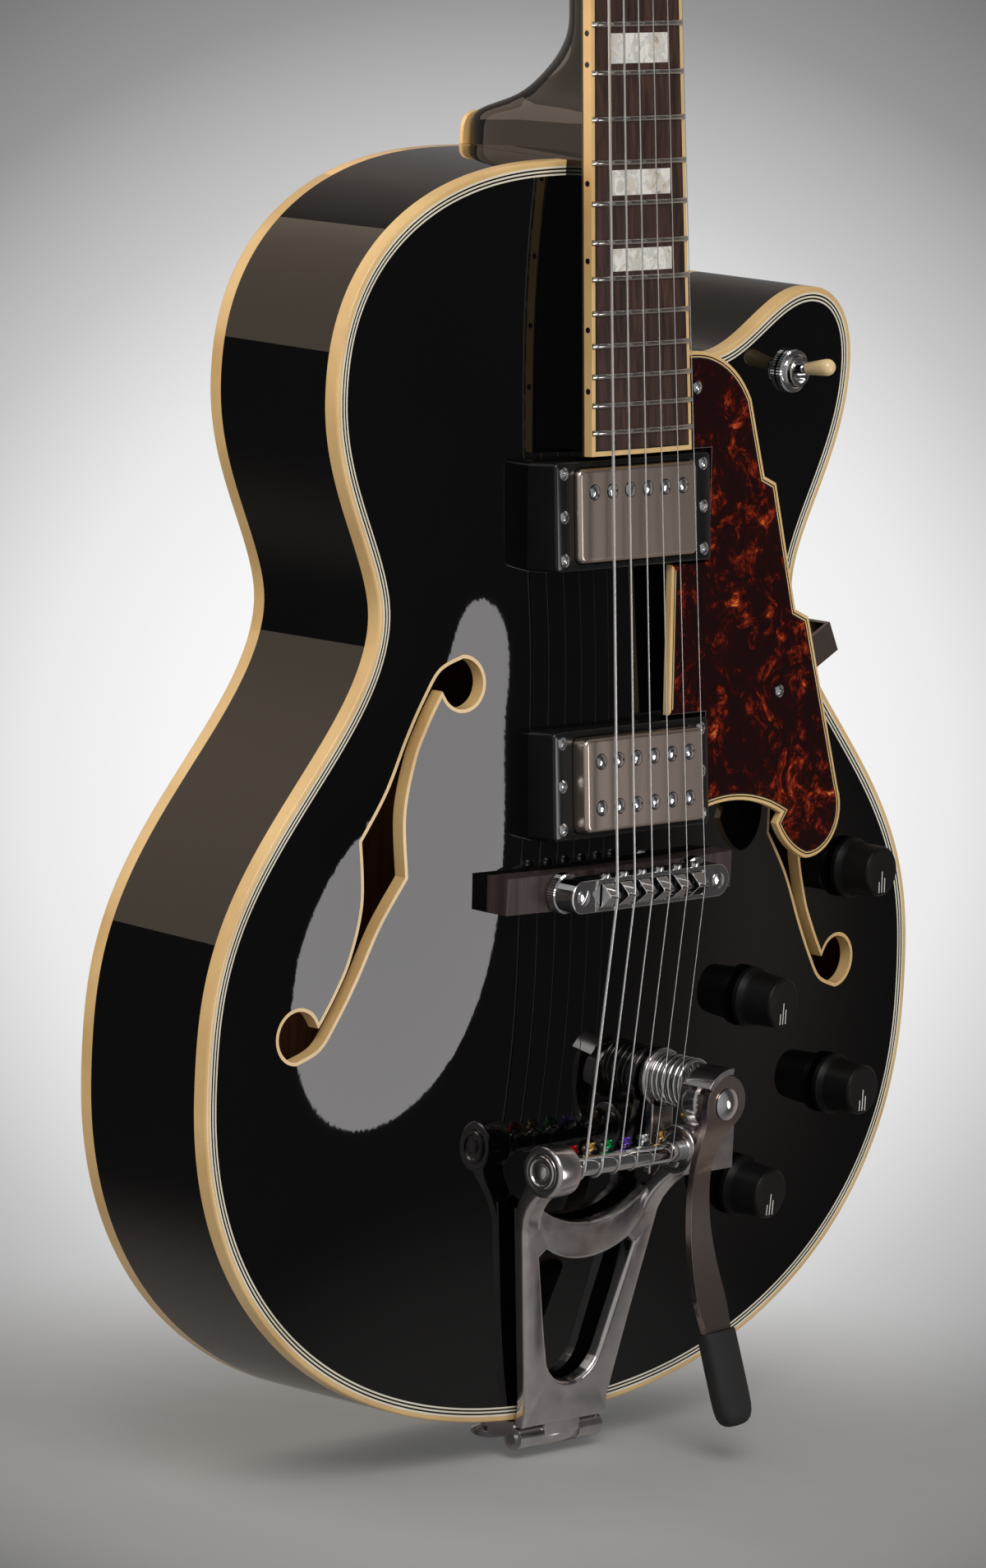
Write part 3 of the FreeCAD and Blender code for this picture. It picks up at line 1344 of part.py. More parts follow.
def build_frame():
    foot, top = d.frame_foot_width / 2, d.frame_top_width / 2
    high = d.frame_top_station
    low = d.hinge_station + d.knuckle_radius + 2 * GAP
    rim_arc = Part.Arc(Vector(top - 8, 0, high), Vector(0, 0, high - 11), Vector(8 - top, 0, high)).toShape()
    sides = [Vector(8 - top, 0, high), Vector(-top, 0, high - 2), Vector(-foot, 0, 6), Vector(-foot, 0, low),
             Vector(foot, 0, low), Vector(foot, 0, 6), Vector(top, 0, high - 2), Vector(top - 8, 0, high)]
    plate_outline = Part.Wire([rim_arc] + Part.makePolygon(sides).Edges)
    plate = prism([plate_outline, shield_opening()], 0, d.frame_thickness)
    slope = Rotation(Vector(1, 0, 0), d.frame_slope)
    plate.Placement = Placement(at(0, d.frame_foot_height, 0), slope)
    pieces = [plate]
    axis = d.bar_station
    for side in (-1, 1):
        start, end = side * d.boss_inner, side * (d.boss_inner + d.boss_width)
        boss = rod(at(start, d.bar_height, axis), at(end, d.bar_height, axis), d.boss_radius)
        root, level = high - d.boss_width, frame_height(high - d.boss_radius)
        ear = [(level - d.frame_thickness, root), (level, root),
               (d.bar_height - 1, axis - d.boss_radius + 0.6), (d.bar_height, axis),
               (d.bar_height - d.boss_radius + 0.4, axis + 2),
               (level - d.frame_thickness + 1.5, high), (level - d.frame_thickness, root)]
        web = Part.Face(Part.makePolygon([at(start, height, z) for height, z in ear]))
        pieces += [boss, web.extrude(Vector(end - start, 0, 0))]
    top_level, thick = seat_level(), d.frame_thickness - 1.6
    seat = rod(at(d.spring_offset, top_level - thick, d.spring_station),
               at(d.spring_offset, top_level, d.spring_station), d.seat_radius)
    shelf = rectangle(d.boss_width, d.spring_station - axis + 12, d.boss_inner + d.boss_width / 2,
                      (d.spring_station + axis - 12) / 2)
    pieces += [seat, prism([shelf], front(top_level), front(top_level - thick))]
    tongue_top = d.hinge_height + d.knuckle_radius
    tongue = prism([rectangle(d.tongue_width, 12 - d.hinge_station, 0, (12 + d.hinge_station) / 2)],
                   front(tongue_top), front(tongue_top - 3.4))
    half = d.tongue_width / 2
    curl = rod(at(-half, d.hinge_height, d.hinge_station), at(half, d.hinge_height, d.hinge_station),
               d.knuckle_radius)
    whole = pieces[0].fuse(pieces[1:] + [tongue, curl])
    reach = d.boss_inner + 2 * d.boss_width
    bore = rod(at(-reach, d.bar_height, axis), at(reach, d.bar_height, axis), d.bearing_radius)
    frame = whole.cut([bore, hinge_rod(d.hinge_pin_radius)]).Solids[0]
    node("vibrato_frame", feature("vibrato_frame", frame))


def shield_opening():
    """Opening in the frame: dished top edge, sides drawing in to a round foot."""
    wide, narrow = d.shield_width / 2, d.shield_foot_width / 2
    high, low = d.shield_top_station, d.shield_low_station
    corner, shoulder = wide - 4, high - 3
    spring_line = low + 12
    dish = Vector(0, 0, high - d.shield_dish)
    top = Part.Arc(Vector(-corner, 0, high), dish, Vector(corner, 0, high)).toShape()
    point = Vector(0, 0, low)
    foot = Part.Arc(Vector(narrow, 0, spring_line), point, Vector(-narrow, 0, spring_line)).toShape()
    edges = [top, foot]
    for side in (-1, 1):
        flank = [(corner, high), (wide, shoulder), (narrow, spring_line)]
        edges += Part.makePolygon([Vector(side * x, 0, z) for x, z in flank]).Edges
    return Part.Wire(Part.__sortEdges__(edges))


def hinge_rod(radius):
    half = d.hinge_width / 2 + 1
    return rod(at(-half, d.hinge_height, d.hinge_station), at(half, d.hinge_height, d.hinge_station), radius)


def build_hinge():
    half, inner = d.hinge_width / 2, d.tongue_width / 2 + GAP
    thick = d.tail_plate_thickness
    y = front(d.hinge_height)
    plate = Part.makeBox(d.tail_plate_width, d.tail_plate_length, thick,
                         Vector(-d.tail_plate_width / 2, y + d.knuckle_radius, -thick - TOUCH))
    pieces = []
    for side in (-1, 1):
        ends = sorted((side * inner, side * half))
        spot = Vector(ends[0], y, d.hinge_station)
        pieces.append(Part.makeCylinder(d.knuckle_radius, half - inner, spot, Vector(1, 0, 0)))
        web_spot = Vector(ends[0], y, d.hinge_station)
        pieces.append(Part.makeBox(half - inner, 3 * d.knuckle_radius, -d.hinge_station - TOUCH, web_spot))
    whole = plate.fuse(pieces).removeSplitter().cut(hinge_rod(d.hinge_pin_radius))
    fixings = []
    for side in (-1, 1):
        for along in (0.4, 0.88):
            spot = Vector(side * d.tail_plate_width * 0.34, y + along * d.tail_plate_length, -thick - TOUCH)
            fixings.append(Placement(spot, Rotation(Vector(1, 0, 0), 180)))
    node("tail_hinge_plate", feature("tail_hinge_plate", fasten(whole, fixings, thick).Solids[0]))
    node("hinge_pin", feature("hinge_pin", hinge_rod(d.hinge_pin_radius)))


def build_bearings():
    """Shells pressed into the bosses; the string bar turns in them."""
    shells = []
    for start in (-d.boss_inner - d.boss_width + 2 * GAP, d.boss_inner + 2 * GAP):
        place = Placement(at(start, d.bar_height, d.bar_station), ALONG_X)
        outer = cylinder("bearing_shell", "Dims.bearing_radius", f"Dims.boss_width - {4 * GAP}", place)
        inner = cylinder("bearing_bore", "Dims.bar_radius + Dims.bar_clearance", "Dims.boss_width", place)
        shells.append(cut("bearing", outer, inner))
    node("bar_bearings", *shells)


def build_bar():
    inner_end = d.boss_inner + d.boss_width
    bar = rod(at(-inner_end + 1, d.bar_height, d.bar_station),
              at(inner_end + d.boss_width, d.bar_height, d.bar_station), d.bar_radius)
    pins = []
    for index in range(len(STRING_RADII)):
        x = string_x(index, d.string_pitch_bridge)
        pins.append(rod(bar_point(x, d.bar_radius - 1, BALL_ANGLE),
                        bar_point(x, d.bar_radius + BALL_LENGTH + 1, BALL_ANGLE), BALL_BORE - 0.15))
    node("string_bar", feature("string_bar", bar.fuse(pins).Solids[0]))


def helix_point(turn):
    """A point of the spring's wire, measured in turns from its foot."""
    angle = 2 * math.pi * turn
    rise = (d.spring_length - 2 * d.spring_wire - 2 * GAP) * turn / d.spring_turns
    level = seat_level() + d.spring_wire + GAP + rise
    return at(d.spring_offset + d.spring_radius * math.cos(angle), level,
              d.spring_station + d.spring_radius * math.sin(angle))


def build_spring():
    edges = []
    quarters = int(d.spring_turns * 4)
    for i in range(quarters):
        start, middle, end = (helix_point((i + share) / 4) for share in (0, 0.5, 1))
        edges.append(Part.Arc(start, middle, end).toShape())
    path = Part.Wire(edges)
    start = edges[0].Curve.tangent(edges[0].FirstParameter)[0]
    section = Part.Wire(Part.makeCircle(d.spring_wire, helix_point(0), start))
    node("vibrato_spring", feature("vibrato_spring", path.makePipeShell([section], True, False)))
    pitch = (d.spring_length - 2 * d.spring_wire - 2 * GAP) / d.spring_turns
    print(f"spring: least gap between curls {pitch - 2 * d.spring_wire:.2f} mm")


# The arm from its eye: its height, and its two edges, each with the way along it
ARM_DIP = ((0, 0), (8, -0.8), (19, -5), (36, -8.6), (51, -8.6), (66, -6.2), (81, -2.1))
ARM_LEFT = ((-10.6, 19), (-10.2, 36), (-12.3, 66), (-13.6, 81))
ARM_RIGHT = ((3.2, 81), (1.9, 66), (-0.2, 36), (0.4, 20), (4.5, 10.2))
ARM_END_RISE = 0.3
ARM_MIDDLE = -5.2


def build_arm():
    eye = at(d.arm_offset, d.arm_height, d.arm_station)
    turn = Rotation(Vector(0, 1, 0), -d.arm_splay)
    place = Placement(eye, turn)
    sweep = d.arm_length
    straight, level = ARM_DIP[-1]
    top = [(-d.arm_eye_radius - 1, 0), *ARM_DIP, (sweep, level + (sweep - straight) * ARM_END_RISE)]
    thick = d.arm_thickness

    def side_line(shift):
        return [Vector(0, -height - shift + thick / 2, -along) for along, height in top]

    upper, lower = side_line(0), side_line(thick)
    edges = [spline(upper), Part.makeLine(upper[-1], lower[-1]),
             spline(lower), Part.makeLine(lower[0], upper[0])]
    side = Part.Face(Part.Wire(Part.__sortEdges__(edges)))
    side.translate(Vector(-2 * d.arm_eye_radius, 0, 0))
    side = side.extrude(Vector(4 * d.arm_eye_radius, 0, 0))
    eye_r = d.arm_eye_radius
    left = [Vector(-eye_r, 0, 0)] + [Vector(x, 0, -along) for x, along in ARM_LEFT + ((-13.3, sweep),)]
    right = [Vector(x, 0, -along) for x, along in ((2.9, sweep),) + ARM_RIGHT]
    plan = [spline(left), Part.makeLine(left[-1], right[0]), spline(right)]
    rim = Part.Arc(right[-1], Vector(eye_r * 0.8, 0, eye_r * 0.6), left[0]).toShape()
    blade = prism([Part.Wire(plan + [rim])], -sweep / 2, sweep / 2)
    hole = rod(Vector(0, -sweep / 2, 0), Vector(0, sweep / 2, 0), d.arm_bolt_radius + 0.05)
    arm = side.common(blade).cut(hole).Solids[0]
    node("vibrato_arm", feature("vibrato_arm", arm, place))
    build_grip(place, arm, sweep, top[-1][1])


def build_grip(place, arm, sweep, end_height):
    """Soft sleeve over the arm's end, rounded all over."""
    slope = Rotation(Vector(1, 0, 0), -math.degrees(math.atan(ARM_END_RISE)))
    wide, thick, length = d.grip_width, d.grip_thickness, d.grip_length
    blank = Part.makeBox(wide, thick, length, Vector(-wide / 2, -thick / 2, -length))
    sleeve = blank.makeFillet(thick * 0.46, blank.Edges)
    covered = length * 0.86
    spot = Vector(ARM_MIDDLE, -end_height + covered * ARM_END_RISE, -sweep + covered)
    sleeve.Placement = Placement(spot, slope)
    node("arm_grip", feature("arm_grip", sleeve.cut(arm).Solids[0], place))


def build_bracket():
    axis = d.bar_station
    hub_start = d.boss_inner + d.boss_width + GAP
    hub_end = hub_start + d.boss_width
    low = seat_level() + d.spring_length + GAP
    high = d.arm_height - d.arm_thickness / 2 - GAP
    hub = rod(at(hub_start, d.bar_height, axis), at(hub_end, d.bar_height, axis), d.hub_radius)
    eye_x, eye_z = d.arm_offset, d.arm_station
    deck = d.bar_height + d.boss_radius
    collar = Part.makeCone(d.arm_eye_radius, d.arm_bolt_radius + 1.2, high - deck - 3,
                           at(eye_x, deck + 3, eye_z), Vector(0, -1, 0))
    disc = rod(at(eye_x, low, eye_z), at(eye_x, deck + 3, eye_z), d.arm_eye_radius).fuse(collar)
    link = [(eye_x - 6, axis + d.boss_radius + 1), (hub_end, axis + d.boss_radius + 1), (hub_end, axis + 17),
            (eye_x + d.arm_eye_radius, eye_z + 5), (eye_x - 6, eye_z + 8)]
    plan = Part.makePolygon([Vector(x, 0, z) for x, z in link + link[:1]])
    bridge_piece = prism([plan], front(deck), front(low))
    block = prism([rectangle(hub_end - hub_start, d.hub_radius + 17, (hub_start + hub_end) / 2,
                             axis + (17 - d.hub_radius) / 2)],
                  front(d.bar_height + d.hub_radius), front(d.bar_height))
    wing = rod(at(eye_x, deck - 1, eye_z), at(eye_x, high + 5, eye_z), d.arm_eye_radius + 3.2)
    wing = wing.cut(rod(at(eye_x, deck, eye_z), at(eye_x, high + 6, eye_z), d.arm_eye_radius + 0.8))
    wing = wing.cut(rod(at(eye_x, deck - 2, eye_z), at(eye_x, deck, eye_z), d.arm_eye_radius - 1))
    keep = Part.makePolygon([Vector(eye_x, 0, eye_z), Vector(eye_x + 3, 0, eye_z + 24),
                             Vector(eye_x - 26, 0, eye_z + 16), Vector(eye_x, 0, eye_z)])
    wing = wing.common(prism([keep], front(high + 6), front(deck - 2)))
    boss_room = rod(at(0, d.bar_height, axis), at(hub_start, d.bar_height, axis), d.boss_radius + 2 * GAP)
    shank = rod(at(eye_x, low - 1, eye_z), at(eye_x, high + 1, eye_z), d.arm_bolt_radius)
    bar_end = rod(at(0, d.bar_height, axis), at(hub_end + 1, d.bar_height, axis), d.bar_radius)
    whole = disc.fuse([bridge_piece, block, hub, wing]).cut([boss_room, shank, bar_end])
    node("arm_bracket", feature("arm_bracket", whole.Solids[0]))
    head_low = d.arm_height + d.arm_thickness / 2 + GAP
    head = Part.makeSphere(9.2, at(eye_x, head_low - 6.4, eye_z))
    over = rod(at(eye_x, head_low, eye_z), at(eye_x, head_low + 6, eye_z), 6.2)
    stem = rod(at(eye_x, low, eye_z), at(eye_x, head_low + 1, eye_z), d.arm_bolt_radius)
    bolt = head.common(over).fuse(stem)
    node("arm_bolt", feature("arm_bolt", bolt.Solids[0]))


def export():
    doc.recompute()
    for item in doc.Objects:
        if {"Invalid", "Error"} & set(item.State):
            raise RuntimeError(f"{item.Name} failed")
    for piece in nodes:
        if piece.Shape.isNull() or not piece.Shape.isValid():
            raise RuntimeError(f"{piece.Label} has a bad shape")
    os.makedirs("parts", exist_ok=True)
    for piece in nodes:
        piece.Shape.exportStep(f"parts/{piece.Label}.step")
    print(len(nodes), "sub-parts written")


build_body()
build_fingerboard()
build_neck()
build_heel_cap()
build_tuners()
build_strings()
build_pickups()
build_bridge()
build_pickguard()
build_controls()
build_switch()
build_jack()
build_strap_buttons()
build_frame()
build_hinge()
build_bearings()
build_bar()
build_spring()
build_arm()
build_bracket()
node("mounting_screws", *[feature("screw", solid) for solid in screws])
export()
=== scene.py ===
"""Looks of a black archtop guitar with a rocking-bar vibrato.

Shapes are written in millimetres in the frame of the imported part: +Z up the neck, strings
towards -Y, +X the treble side, the origin at the tail strap button's seat. Outlines are lists of
(x, z), profiles of turned pieces are lists of (radius, height).
"""
import math

import bmesh
import bpy
from mathutils import Matrix, Vector, geometry


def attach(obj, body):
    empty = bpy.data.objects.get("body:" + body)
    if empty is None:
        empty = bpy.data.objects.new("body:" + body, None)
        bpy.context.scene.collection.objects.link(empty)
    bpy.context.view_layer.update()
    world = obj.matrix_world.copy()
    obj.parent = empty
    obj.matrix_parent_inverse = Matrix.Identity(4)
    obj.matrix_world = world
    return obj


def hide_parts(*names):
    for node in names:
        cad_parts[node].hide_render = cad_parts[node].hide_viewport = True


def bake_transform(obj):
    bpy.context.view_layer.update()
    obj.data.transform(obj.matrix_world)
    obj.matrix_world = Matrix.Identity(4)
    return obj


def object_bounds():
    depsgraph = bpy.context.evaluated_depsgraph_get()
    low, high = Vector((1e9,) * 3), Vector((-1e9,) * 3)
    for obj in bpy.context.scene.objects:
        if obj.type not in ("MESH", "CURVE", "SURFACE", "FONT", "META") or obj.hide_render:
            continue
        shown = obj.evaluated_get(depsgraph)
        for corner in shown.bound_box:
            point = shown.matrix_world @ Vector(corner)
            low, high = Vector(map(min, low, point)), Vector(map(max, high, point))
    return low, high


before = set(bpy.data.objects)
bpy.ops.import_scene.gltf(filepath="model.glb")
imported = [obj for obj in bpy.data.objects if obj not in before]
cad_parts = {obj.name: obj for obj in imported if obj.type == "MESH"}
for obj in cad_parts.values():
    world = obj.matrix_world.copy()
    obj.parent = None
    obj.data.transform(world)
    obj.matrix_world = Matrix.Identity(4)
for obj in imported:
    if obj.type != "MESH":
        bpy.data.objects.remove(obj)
cad_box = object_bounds()
for packed in bpy.data.materials:
    packed.name = "packed_" + packed.name

MM = 0.001
CREASE, BEVEL_SEGMENTS, BEVEL_LIMIT = 35, 3, 30
# Faces with this many corners are shaded flat
FLAT_CORNERS = 9
AXIS_GAP = 0.01

# Body
BODY_LENGTH, RIM_DEPTH = 497.5, 67.5
EDGE = RIM_DEPTH / 2
LOWER_HALF, LOWER_STATION, LOWER_FULLNESS = 202.8, 153.0, 2.2
WAIST_HALF, WAIST_STATION = 119.0, 325.0
UPPER_HALF, UPPER_STATION, UPPER_FULLNESS = 148.3, 412.0, 2.3
JOINT_HALF, JOINT_GAP = 28.0, 0.05
HORN_TIP, HORN_STATION, HORN_FULLNESS = 121.4, 443.4, 2.2
SCOOP_OFFSET, SCOOP_STATION, SCOOP_TOP = 62.0, 418.6, 453.0
FLANK_SKEW, SHOULDER_SKEW = 1.38, 0.82
FRONT_ARCH, BACK_ARCH, ARCH_PEAK = 16.0, 14.0, 209.0
LINING_WIDTH, PLATE, RIM_WALL = 6.0, 5.0, 4.0
BINDING, BINDING_HEIGHT, BINDING_ROUND, BINDING_LAP = 2.2, 6.0, 0.9, 0.1
F_OFFSET, F_STATION, F_EYE = 116.0, 233.0, 11.2
F_EYE_SPOT, F_NICK, F_NOTCH = (40.0, 65.0), (-12.0, 8.0), 205
F_OUTER = ((1, 26), (11.5, 46), (20.5, 61), (28.5, 71.5))
F_INNER = ((23, 49.5), (16.5, 36.5), (11.2, 16))
F_BINDING, F_BINDING_RISE, F_BINDING_DROP = 1.4, 0.06, 0.3
PURFLING = ((0, 0.8), (1.5, 2.2), (2.9, 3.6))
PURFLING_RISE, PURFLING_DEPTH = 0.05, 1.0
OUTLINE_STEP, OUTLINE_PASSES, PLATE_GRID, SURFACE_GAP = 2.5, 8, 6.0, 0.02

# Neck and strings
NECK_ANGLE = 4.82
BRIDGE_STATION, BOARD_HEIGHT, BOARD_THICKNESS = 215.97, 38.34, 6.0
SCALE_LENGTH, COMPENSATION, FRET_COUNT = 628.65, 2.5, 22
BOARD_OVERHANG, BOARD_END_WIDTH, NUT_WIDTH, CROWN = 9.0, 57.6, 43.0, 305.0
BOARD_BINDING, BOARD_LINE, LINE_PROUD, LINE_DEPTH = 1.9, 0.5, 0.04, 0.4
FOOT_LINE = (BOARD_THICKNESS - 0.7, BOARD_THICKNESS - 0.1)
FRET_WIDTH, FRET_HEIGHT, FRET_SHY, FRET_END, FRET_FOOT = 2.3, 1.2, 0.15, 0.55, 0.4
NECK_DEPTH, JOINT_EXTRA, HEEL_HALF = 15.5, 3.0, 15.5
NECK_FULLNESS, HEEL_FULLNESS, HEFT_START, HEFT_RUN = 2.1, 6.4, 20, 36
HEEL = ((0, 31.75), (13, 31.75), (15, 28.5), (17, 21.0), (20, 10.5), (24, 1.0), (29, -6.0),
        (36, -12.0), (45, -17.0), (56, -22.3))
HEEL_STEP, HEEL_RUN, SHAFT_STEP, NECK_PASSES = 2.0, 90, 24.0, 3
HEEL_CAP, HEEL_CAP_LENGTH, HEEL_CAP_POWER = 2.0, 13.4, 0.5
EXTENSION_START, EXTENSION_SHY, EXTENSION_INSET = 2, 0.1, 0.5
NUT_LENGTH, HEAD_ANGLE, HEAD_FACING, HEAD_BACK = 5.0, 14.0, 2.0, 16.0
HEAD_SIDE = ((21.5, 0.6), (22.5, 8.0), (31.25, 23.0), (41.0, 42.0))
HEAD_CORNER, HEAD_CROWN = (37.0, 172.0), 10.0
SIDE_DOTS, OCTAVE, OCTAVE_SPREAD = (3, 5, 7, 9, 15, 17, 19, 21), 12, 6
DOT_RADIUS, DOT_LEVEL = 1.15, 0.55
STRING_COUNT, STRING_PITCH, STRING_LIFT = 6, 10.3, 5.2

# Pickups, bridge and guard
RING_WIDTH, RING_LENGTH, RING_CORNER, RING_SCREW_INSET = 89.5, 42.5, 2.2, 4.6
RING_PLAY, RING_WINDOW = 0.6, 3.2
RING_OUTER = ((0, 1.1), (0.12, 0.6), (0.42, 0.18), (0.9, 0.0))
RING_INNER = ((-0.5, 0.0), (-0.12, 0.15), (0.0, 0.5), (0.0, 9.0))
COVER_WIDTH, COVER_LENGTH, COVER_DEPTH, COVER_CORNER, COVER_ROUND = 68.4, 36.6, 16.0, 3.0, 1.7
PICKUPS = ((362.03, 20.2, 2.6, (1,)), (258.02, 26.0, 7.0, (1, -1)))
POLE_PITCH, POLE_ROW, POLE_RADIUS, POLE_RISE = 10.2, 18.0, 2.7, 0.95
POLE_TURN, POLE_TURN_STEP, POLE_TURN_ROW = 25, 47, 20
POLE_WELL = ((1.0, -0.3), (3.15, -0.3), (3.15, 0.04), (1.0, 0.04))
SADDLE_RISE, BRIDGE_BASE_HEIGHT, BRIDGE_POSTS = 4.8, 8.5, 75.0
BRIDGE_BODY_HEIGHT, BRIDGE_BODY_WIDTH, BRIDGE_BODY_LENGTH = 9.5, 91.0, 13.0
POST_RADIUS, POST_SINK, POST_RISE = 2.0, 4.0, 8.4
WHEEL_RADIUS, WHEEL_EASE, WHEEL_GAP, WHEEL_TEETH = 8.0, 0.6, 0.05, 0.28
END_SCREW, END_SCREW_RISE, END_SCREW_TURN = 3.3, 0.9, 35
SADDLE_SCREW, SADDLE_SCREW_DROP, SADDLE_SCREW_SHY = 1.15, 1.6, 1
SADDLE_SCREW_HEAD = ((0, 0), (2.0, 0), (2.2, 0.3), (2.2, 1.3), (1.7, 1.8), (0, 1.9))
GUARD_HEIGHT, GUARD_TILT, GUARD_THICKNESS, GUARD_ROUND = 20.52, 2.0, 3.0, 0.35
GUARD_CLEAR, GUARD_RISE, GUARD_SLIT, GUARD_SCREW = 1.2, 38.0, 2, (6.6, 14)
GUARD_CROWN = ((0, 0), (30, 9), (39, 20))
GUARD_STEPS = ((48, 51), (55, 54), (68.5, 105), (76.5, 108.5))
GUARD_LOBE = ((97, 178), (92, 201), (78.5, 205.5))
GUARD_WAIST = ((78.5, 205.5), (67, 199), (60, 190))
GUARD_NECK, GUARD_LOW, GUARD_SAG = (63, 186), 5, (30, 2)
GUARD_PLIES = {"guard_pale_plies": ("cream_binding", ((0.35, 1.35), (1.9, 2.4))),
               "guard_dark_plies": ("black_line", ((1.35, 1.9), (2.4, 2.95)))}
PLY_RISE, PLY_DEPTH = 0.03, 0.6
BRACKET_PAD, BRACKET_WIDTH, BRACKET_STRIP, BRACKET_LIP = (89.87, 285.4), 13.0, 1.5, 0.6
BRACKET_SCREW_DROP, BRACKET_SCREW_SHARE = 1.5, 0.2
SCREW_RADIUS, SCREW_RISE, SCREW_TURN, SCREW_SINK = 2.5, 1.3, 37, 0.4
SLIT, SLIT_REACH, SLIT_DEPTH, SCREW_DOME = 0.15, 0.66, 0.55, 0.75

# Controls
KNOBS = ((159.8, 205.8), (94.6, 160.1), (155.4, 117.3), (99.3, 82.0))
KNOB_PROFILE = ((8.2, 1.2), (12.0, 1.2), (12.4, 1.7), (12.4, 3.6), (12.0, 4.1), (11.1, 5.8),
                (10.8, 6.6), (10.2, 17.3), (10.0, 18.0), (9.5, 18.5), (9.0, 18.7), (8.4, 18.58),
                (3.0, 18.58), (0, 18.6))
KNOB_MARKS = ((-1.8, 4.4), (0.0, 8.6), (1.8, 5.8))
MARK_START, MARK_HALF, MARK_LEVELS = 8.5, 0.24, (18.4, 18.64)
SWITCH_SPOT = (110.5, 410.0)
SWITCH_KNURL = ((6.0, 0.1), (8.3, 0.1), (8.8, 0.5), (8.8, 2.6), (8.3, 3.0), (6.9, 3.1))
SWITCH_COLLAR = ((7.0, 2.6), (6.9, 3.9), (6.3, 4.4), (6.0, 5.6), (5.6, 6.1), (4.5, 6.1), (4.4, 5.4),
                 (4.4, -5.0), (0, -5.3))
SWITCH_UNDER = ((0, -29), (11, -29), (11, -6), (6.0, -6), (6.0, 0.2))
SWITCH_TEETH, LEVER_TILT, LEVER_SINK = 0.35, 9.0, 1
LEVER_STEM = ((0, -4), (2.4, -3.2), (3.7, -1.7), (4.1, 0), (3.7, 1.7), (2.5, 3.0), (1.9, 4.2),
              (1.9, 12.0), (0, 12.0))
LEVER_TIP = ((0, 10.6), (2.2, 10.6), (2.5, 11.0), (3.3, 19.5), (3.4, 21.0), (3.1, 22.4),
             (2.3, 23.5), (1.2, 23.95), (0, 24.0))

# Vibrato
BAR_STATION, BAR_HEIGHT, BAR_RADIUS = 107.5, 29.0, 4.3
BOSS_INNER, BOSS_WIDTH, BOSS_RADIUS, BOSS_BORE = 32.5, 12.5, 10.4, 6.85
BOSS_ROUND, BORE_INSET, BORE_EASE = ((1.5, 0.0), (0.75, 0.2), (0.2, 0.75), (0.0, 1.5)), 0.3, 0.5
BEARING_CAP = ((6.7, 0.0), (6.7, 0.5), (6.3, 0.8), (5.4, 0.8), (5.0, 0.5), (4.6, -0.3), (3.5, -0.3),
               (3.4, 0.2), (3.0, 1.0), (2.0, 1.5), (0.9, 1.75), (0, 1.8))
BALL_FINISHES = ("ball_red", "ball_brass", "ball_green", "ball_purple", "chrome", "ball_brass")
BALL_PROFILE = ((1.15, 0), (2.4, 0), (2.6, 0.3), (2.55, 0.8), (2.0, 1.2), (2.0, 1.9), (2.55, 2.3),
                (2.6, 2.8), (2.4, 3.1), (1.15, 3.1))
BALL_ANGLE, BALL_REACH, TAIL_BLEND = 343, (1.0, 4.0), (60.0, 12.0)
SPRING_SPOT, SPRING_RADIUS, SPRING_WIRE, SPRING_LENGTH = (38.5, 134.0), 9.6, 1.0, 18.0
SPRING_TURNS, SPRING_STEPS, SPRING_EASE = 6, 40, 0.35
FRAME_THICKNESS, FRAME_ROUND, FRAME_SIDES = 5.0, 1.9, 160
FRAME_FOOT, FRAME_TOP, FRAME_HIGH, FRAME_LOW = 47.5, 82.0, 92.0, -1.9
FRAME_FOOT_HEIGHT, FRAME_SLOPE = 7.2, 6.2
FRAME_CORNER, FRAME_SAG, FRAME_CUT, FRAME_FLARE = 8, 11, 2, 6
SHIELD_WIDTH, SHIELD_FOOT, SHIELD_HIGH, SHIELD_LOW, SHIELD_DISH = 55.0, 31.0, 72.0, 15.0, 6.5
SHIELD_CORNER, SHIELD_CUT, SHIELD_BOWL = 4, 3, 12
FRAME_SHOULDER = (
    (70, 27.0, 36.0, 10.6, 14.6), (76, 28.0, 37.8, 11.0, 15.2), (81, 29.2, 39.2, 11.4, 16.1),
    (86, 30.4, 40.8, 12.0, 17.9), (90, 31.4, 42.3, 13.2, 20.4), (93.5, 32.1, 43.6, 15.0, 23.4),
    (96.5, 32.5, 44.6, 17.2, 27.0), (99, 32.7, 44.8, 19.0, 30.5), (103, 32.8, 44.8, 20.6, 33.0))
SHOULDER_POWER = 0.45
SEAT_THICKNESS, SEAT_LIFT, SEAT_RADIUS, SEAT_EASE = 3.4, 1.2, 12.0, 0.6
SHELF_LAP, SHELF_CORNER = 12, 1.0
TAIL_PLATE, TAIL_PLATE_WIDTH, TAIL_PLATE_LENGTH = 2.5, 40.0, 46.0
TAIL_SCREW_ASIDE, TAIL_SCREWS = 0.34, (0.4, 0.88)
HINGE_HEIGHT, HINGE_STATION, KNUCKLE, KNUCKLE_EASE = 1.2, -6.6, 4.6, 0.8
TONGUE_WIDTH, TONGUE_END, TONGUE_DEPTH, TONGUE_CORNER, TONGUE_ROUND = 20.0, 12, 3.4, 0.8, 0.5
ARM_EYE, ARM_SPLAY = (38.0, 48.4, 128.9), 4.0
ARM_NECK_START, ARM_NECK_RUN, ARM_NECK_SHARE = 78.0, 14.0, 0.2
GRIP_WIDTH, GRIP_THICKNESS, GRIP_POWER = 18.0, 10.0, 0.72
GRIP_SPOT, GRIP_SLOPE = (-5.2, -1.0, -91.32), 16.7
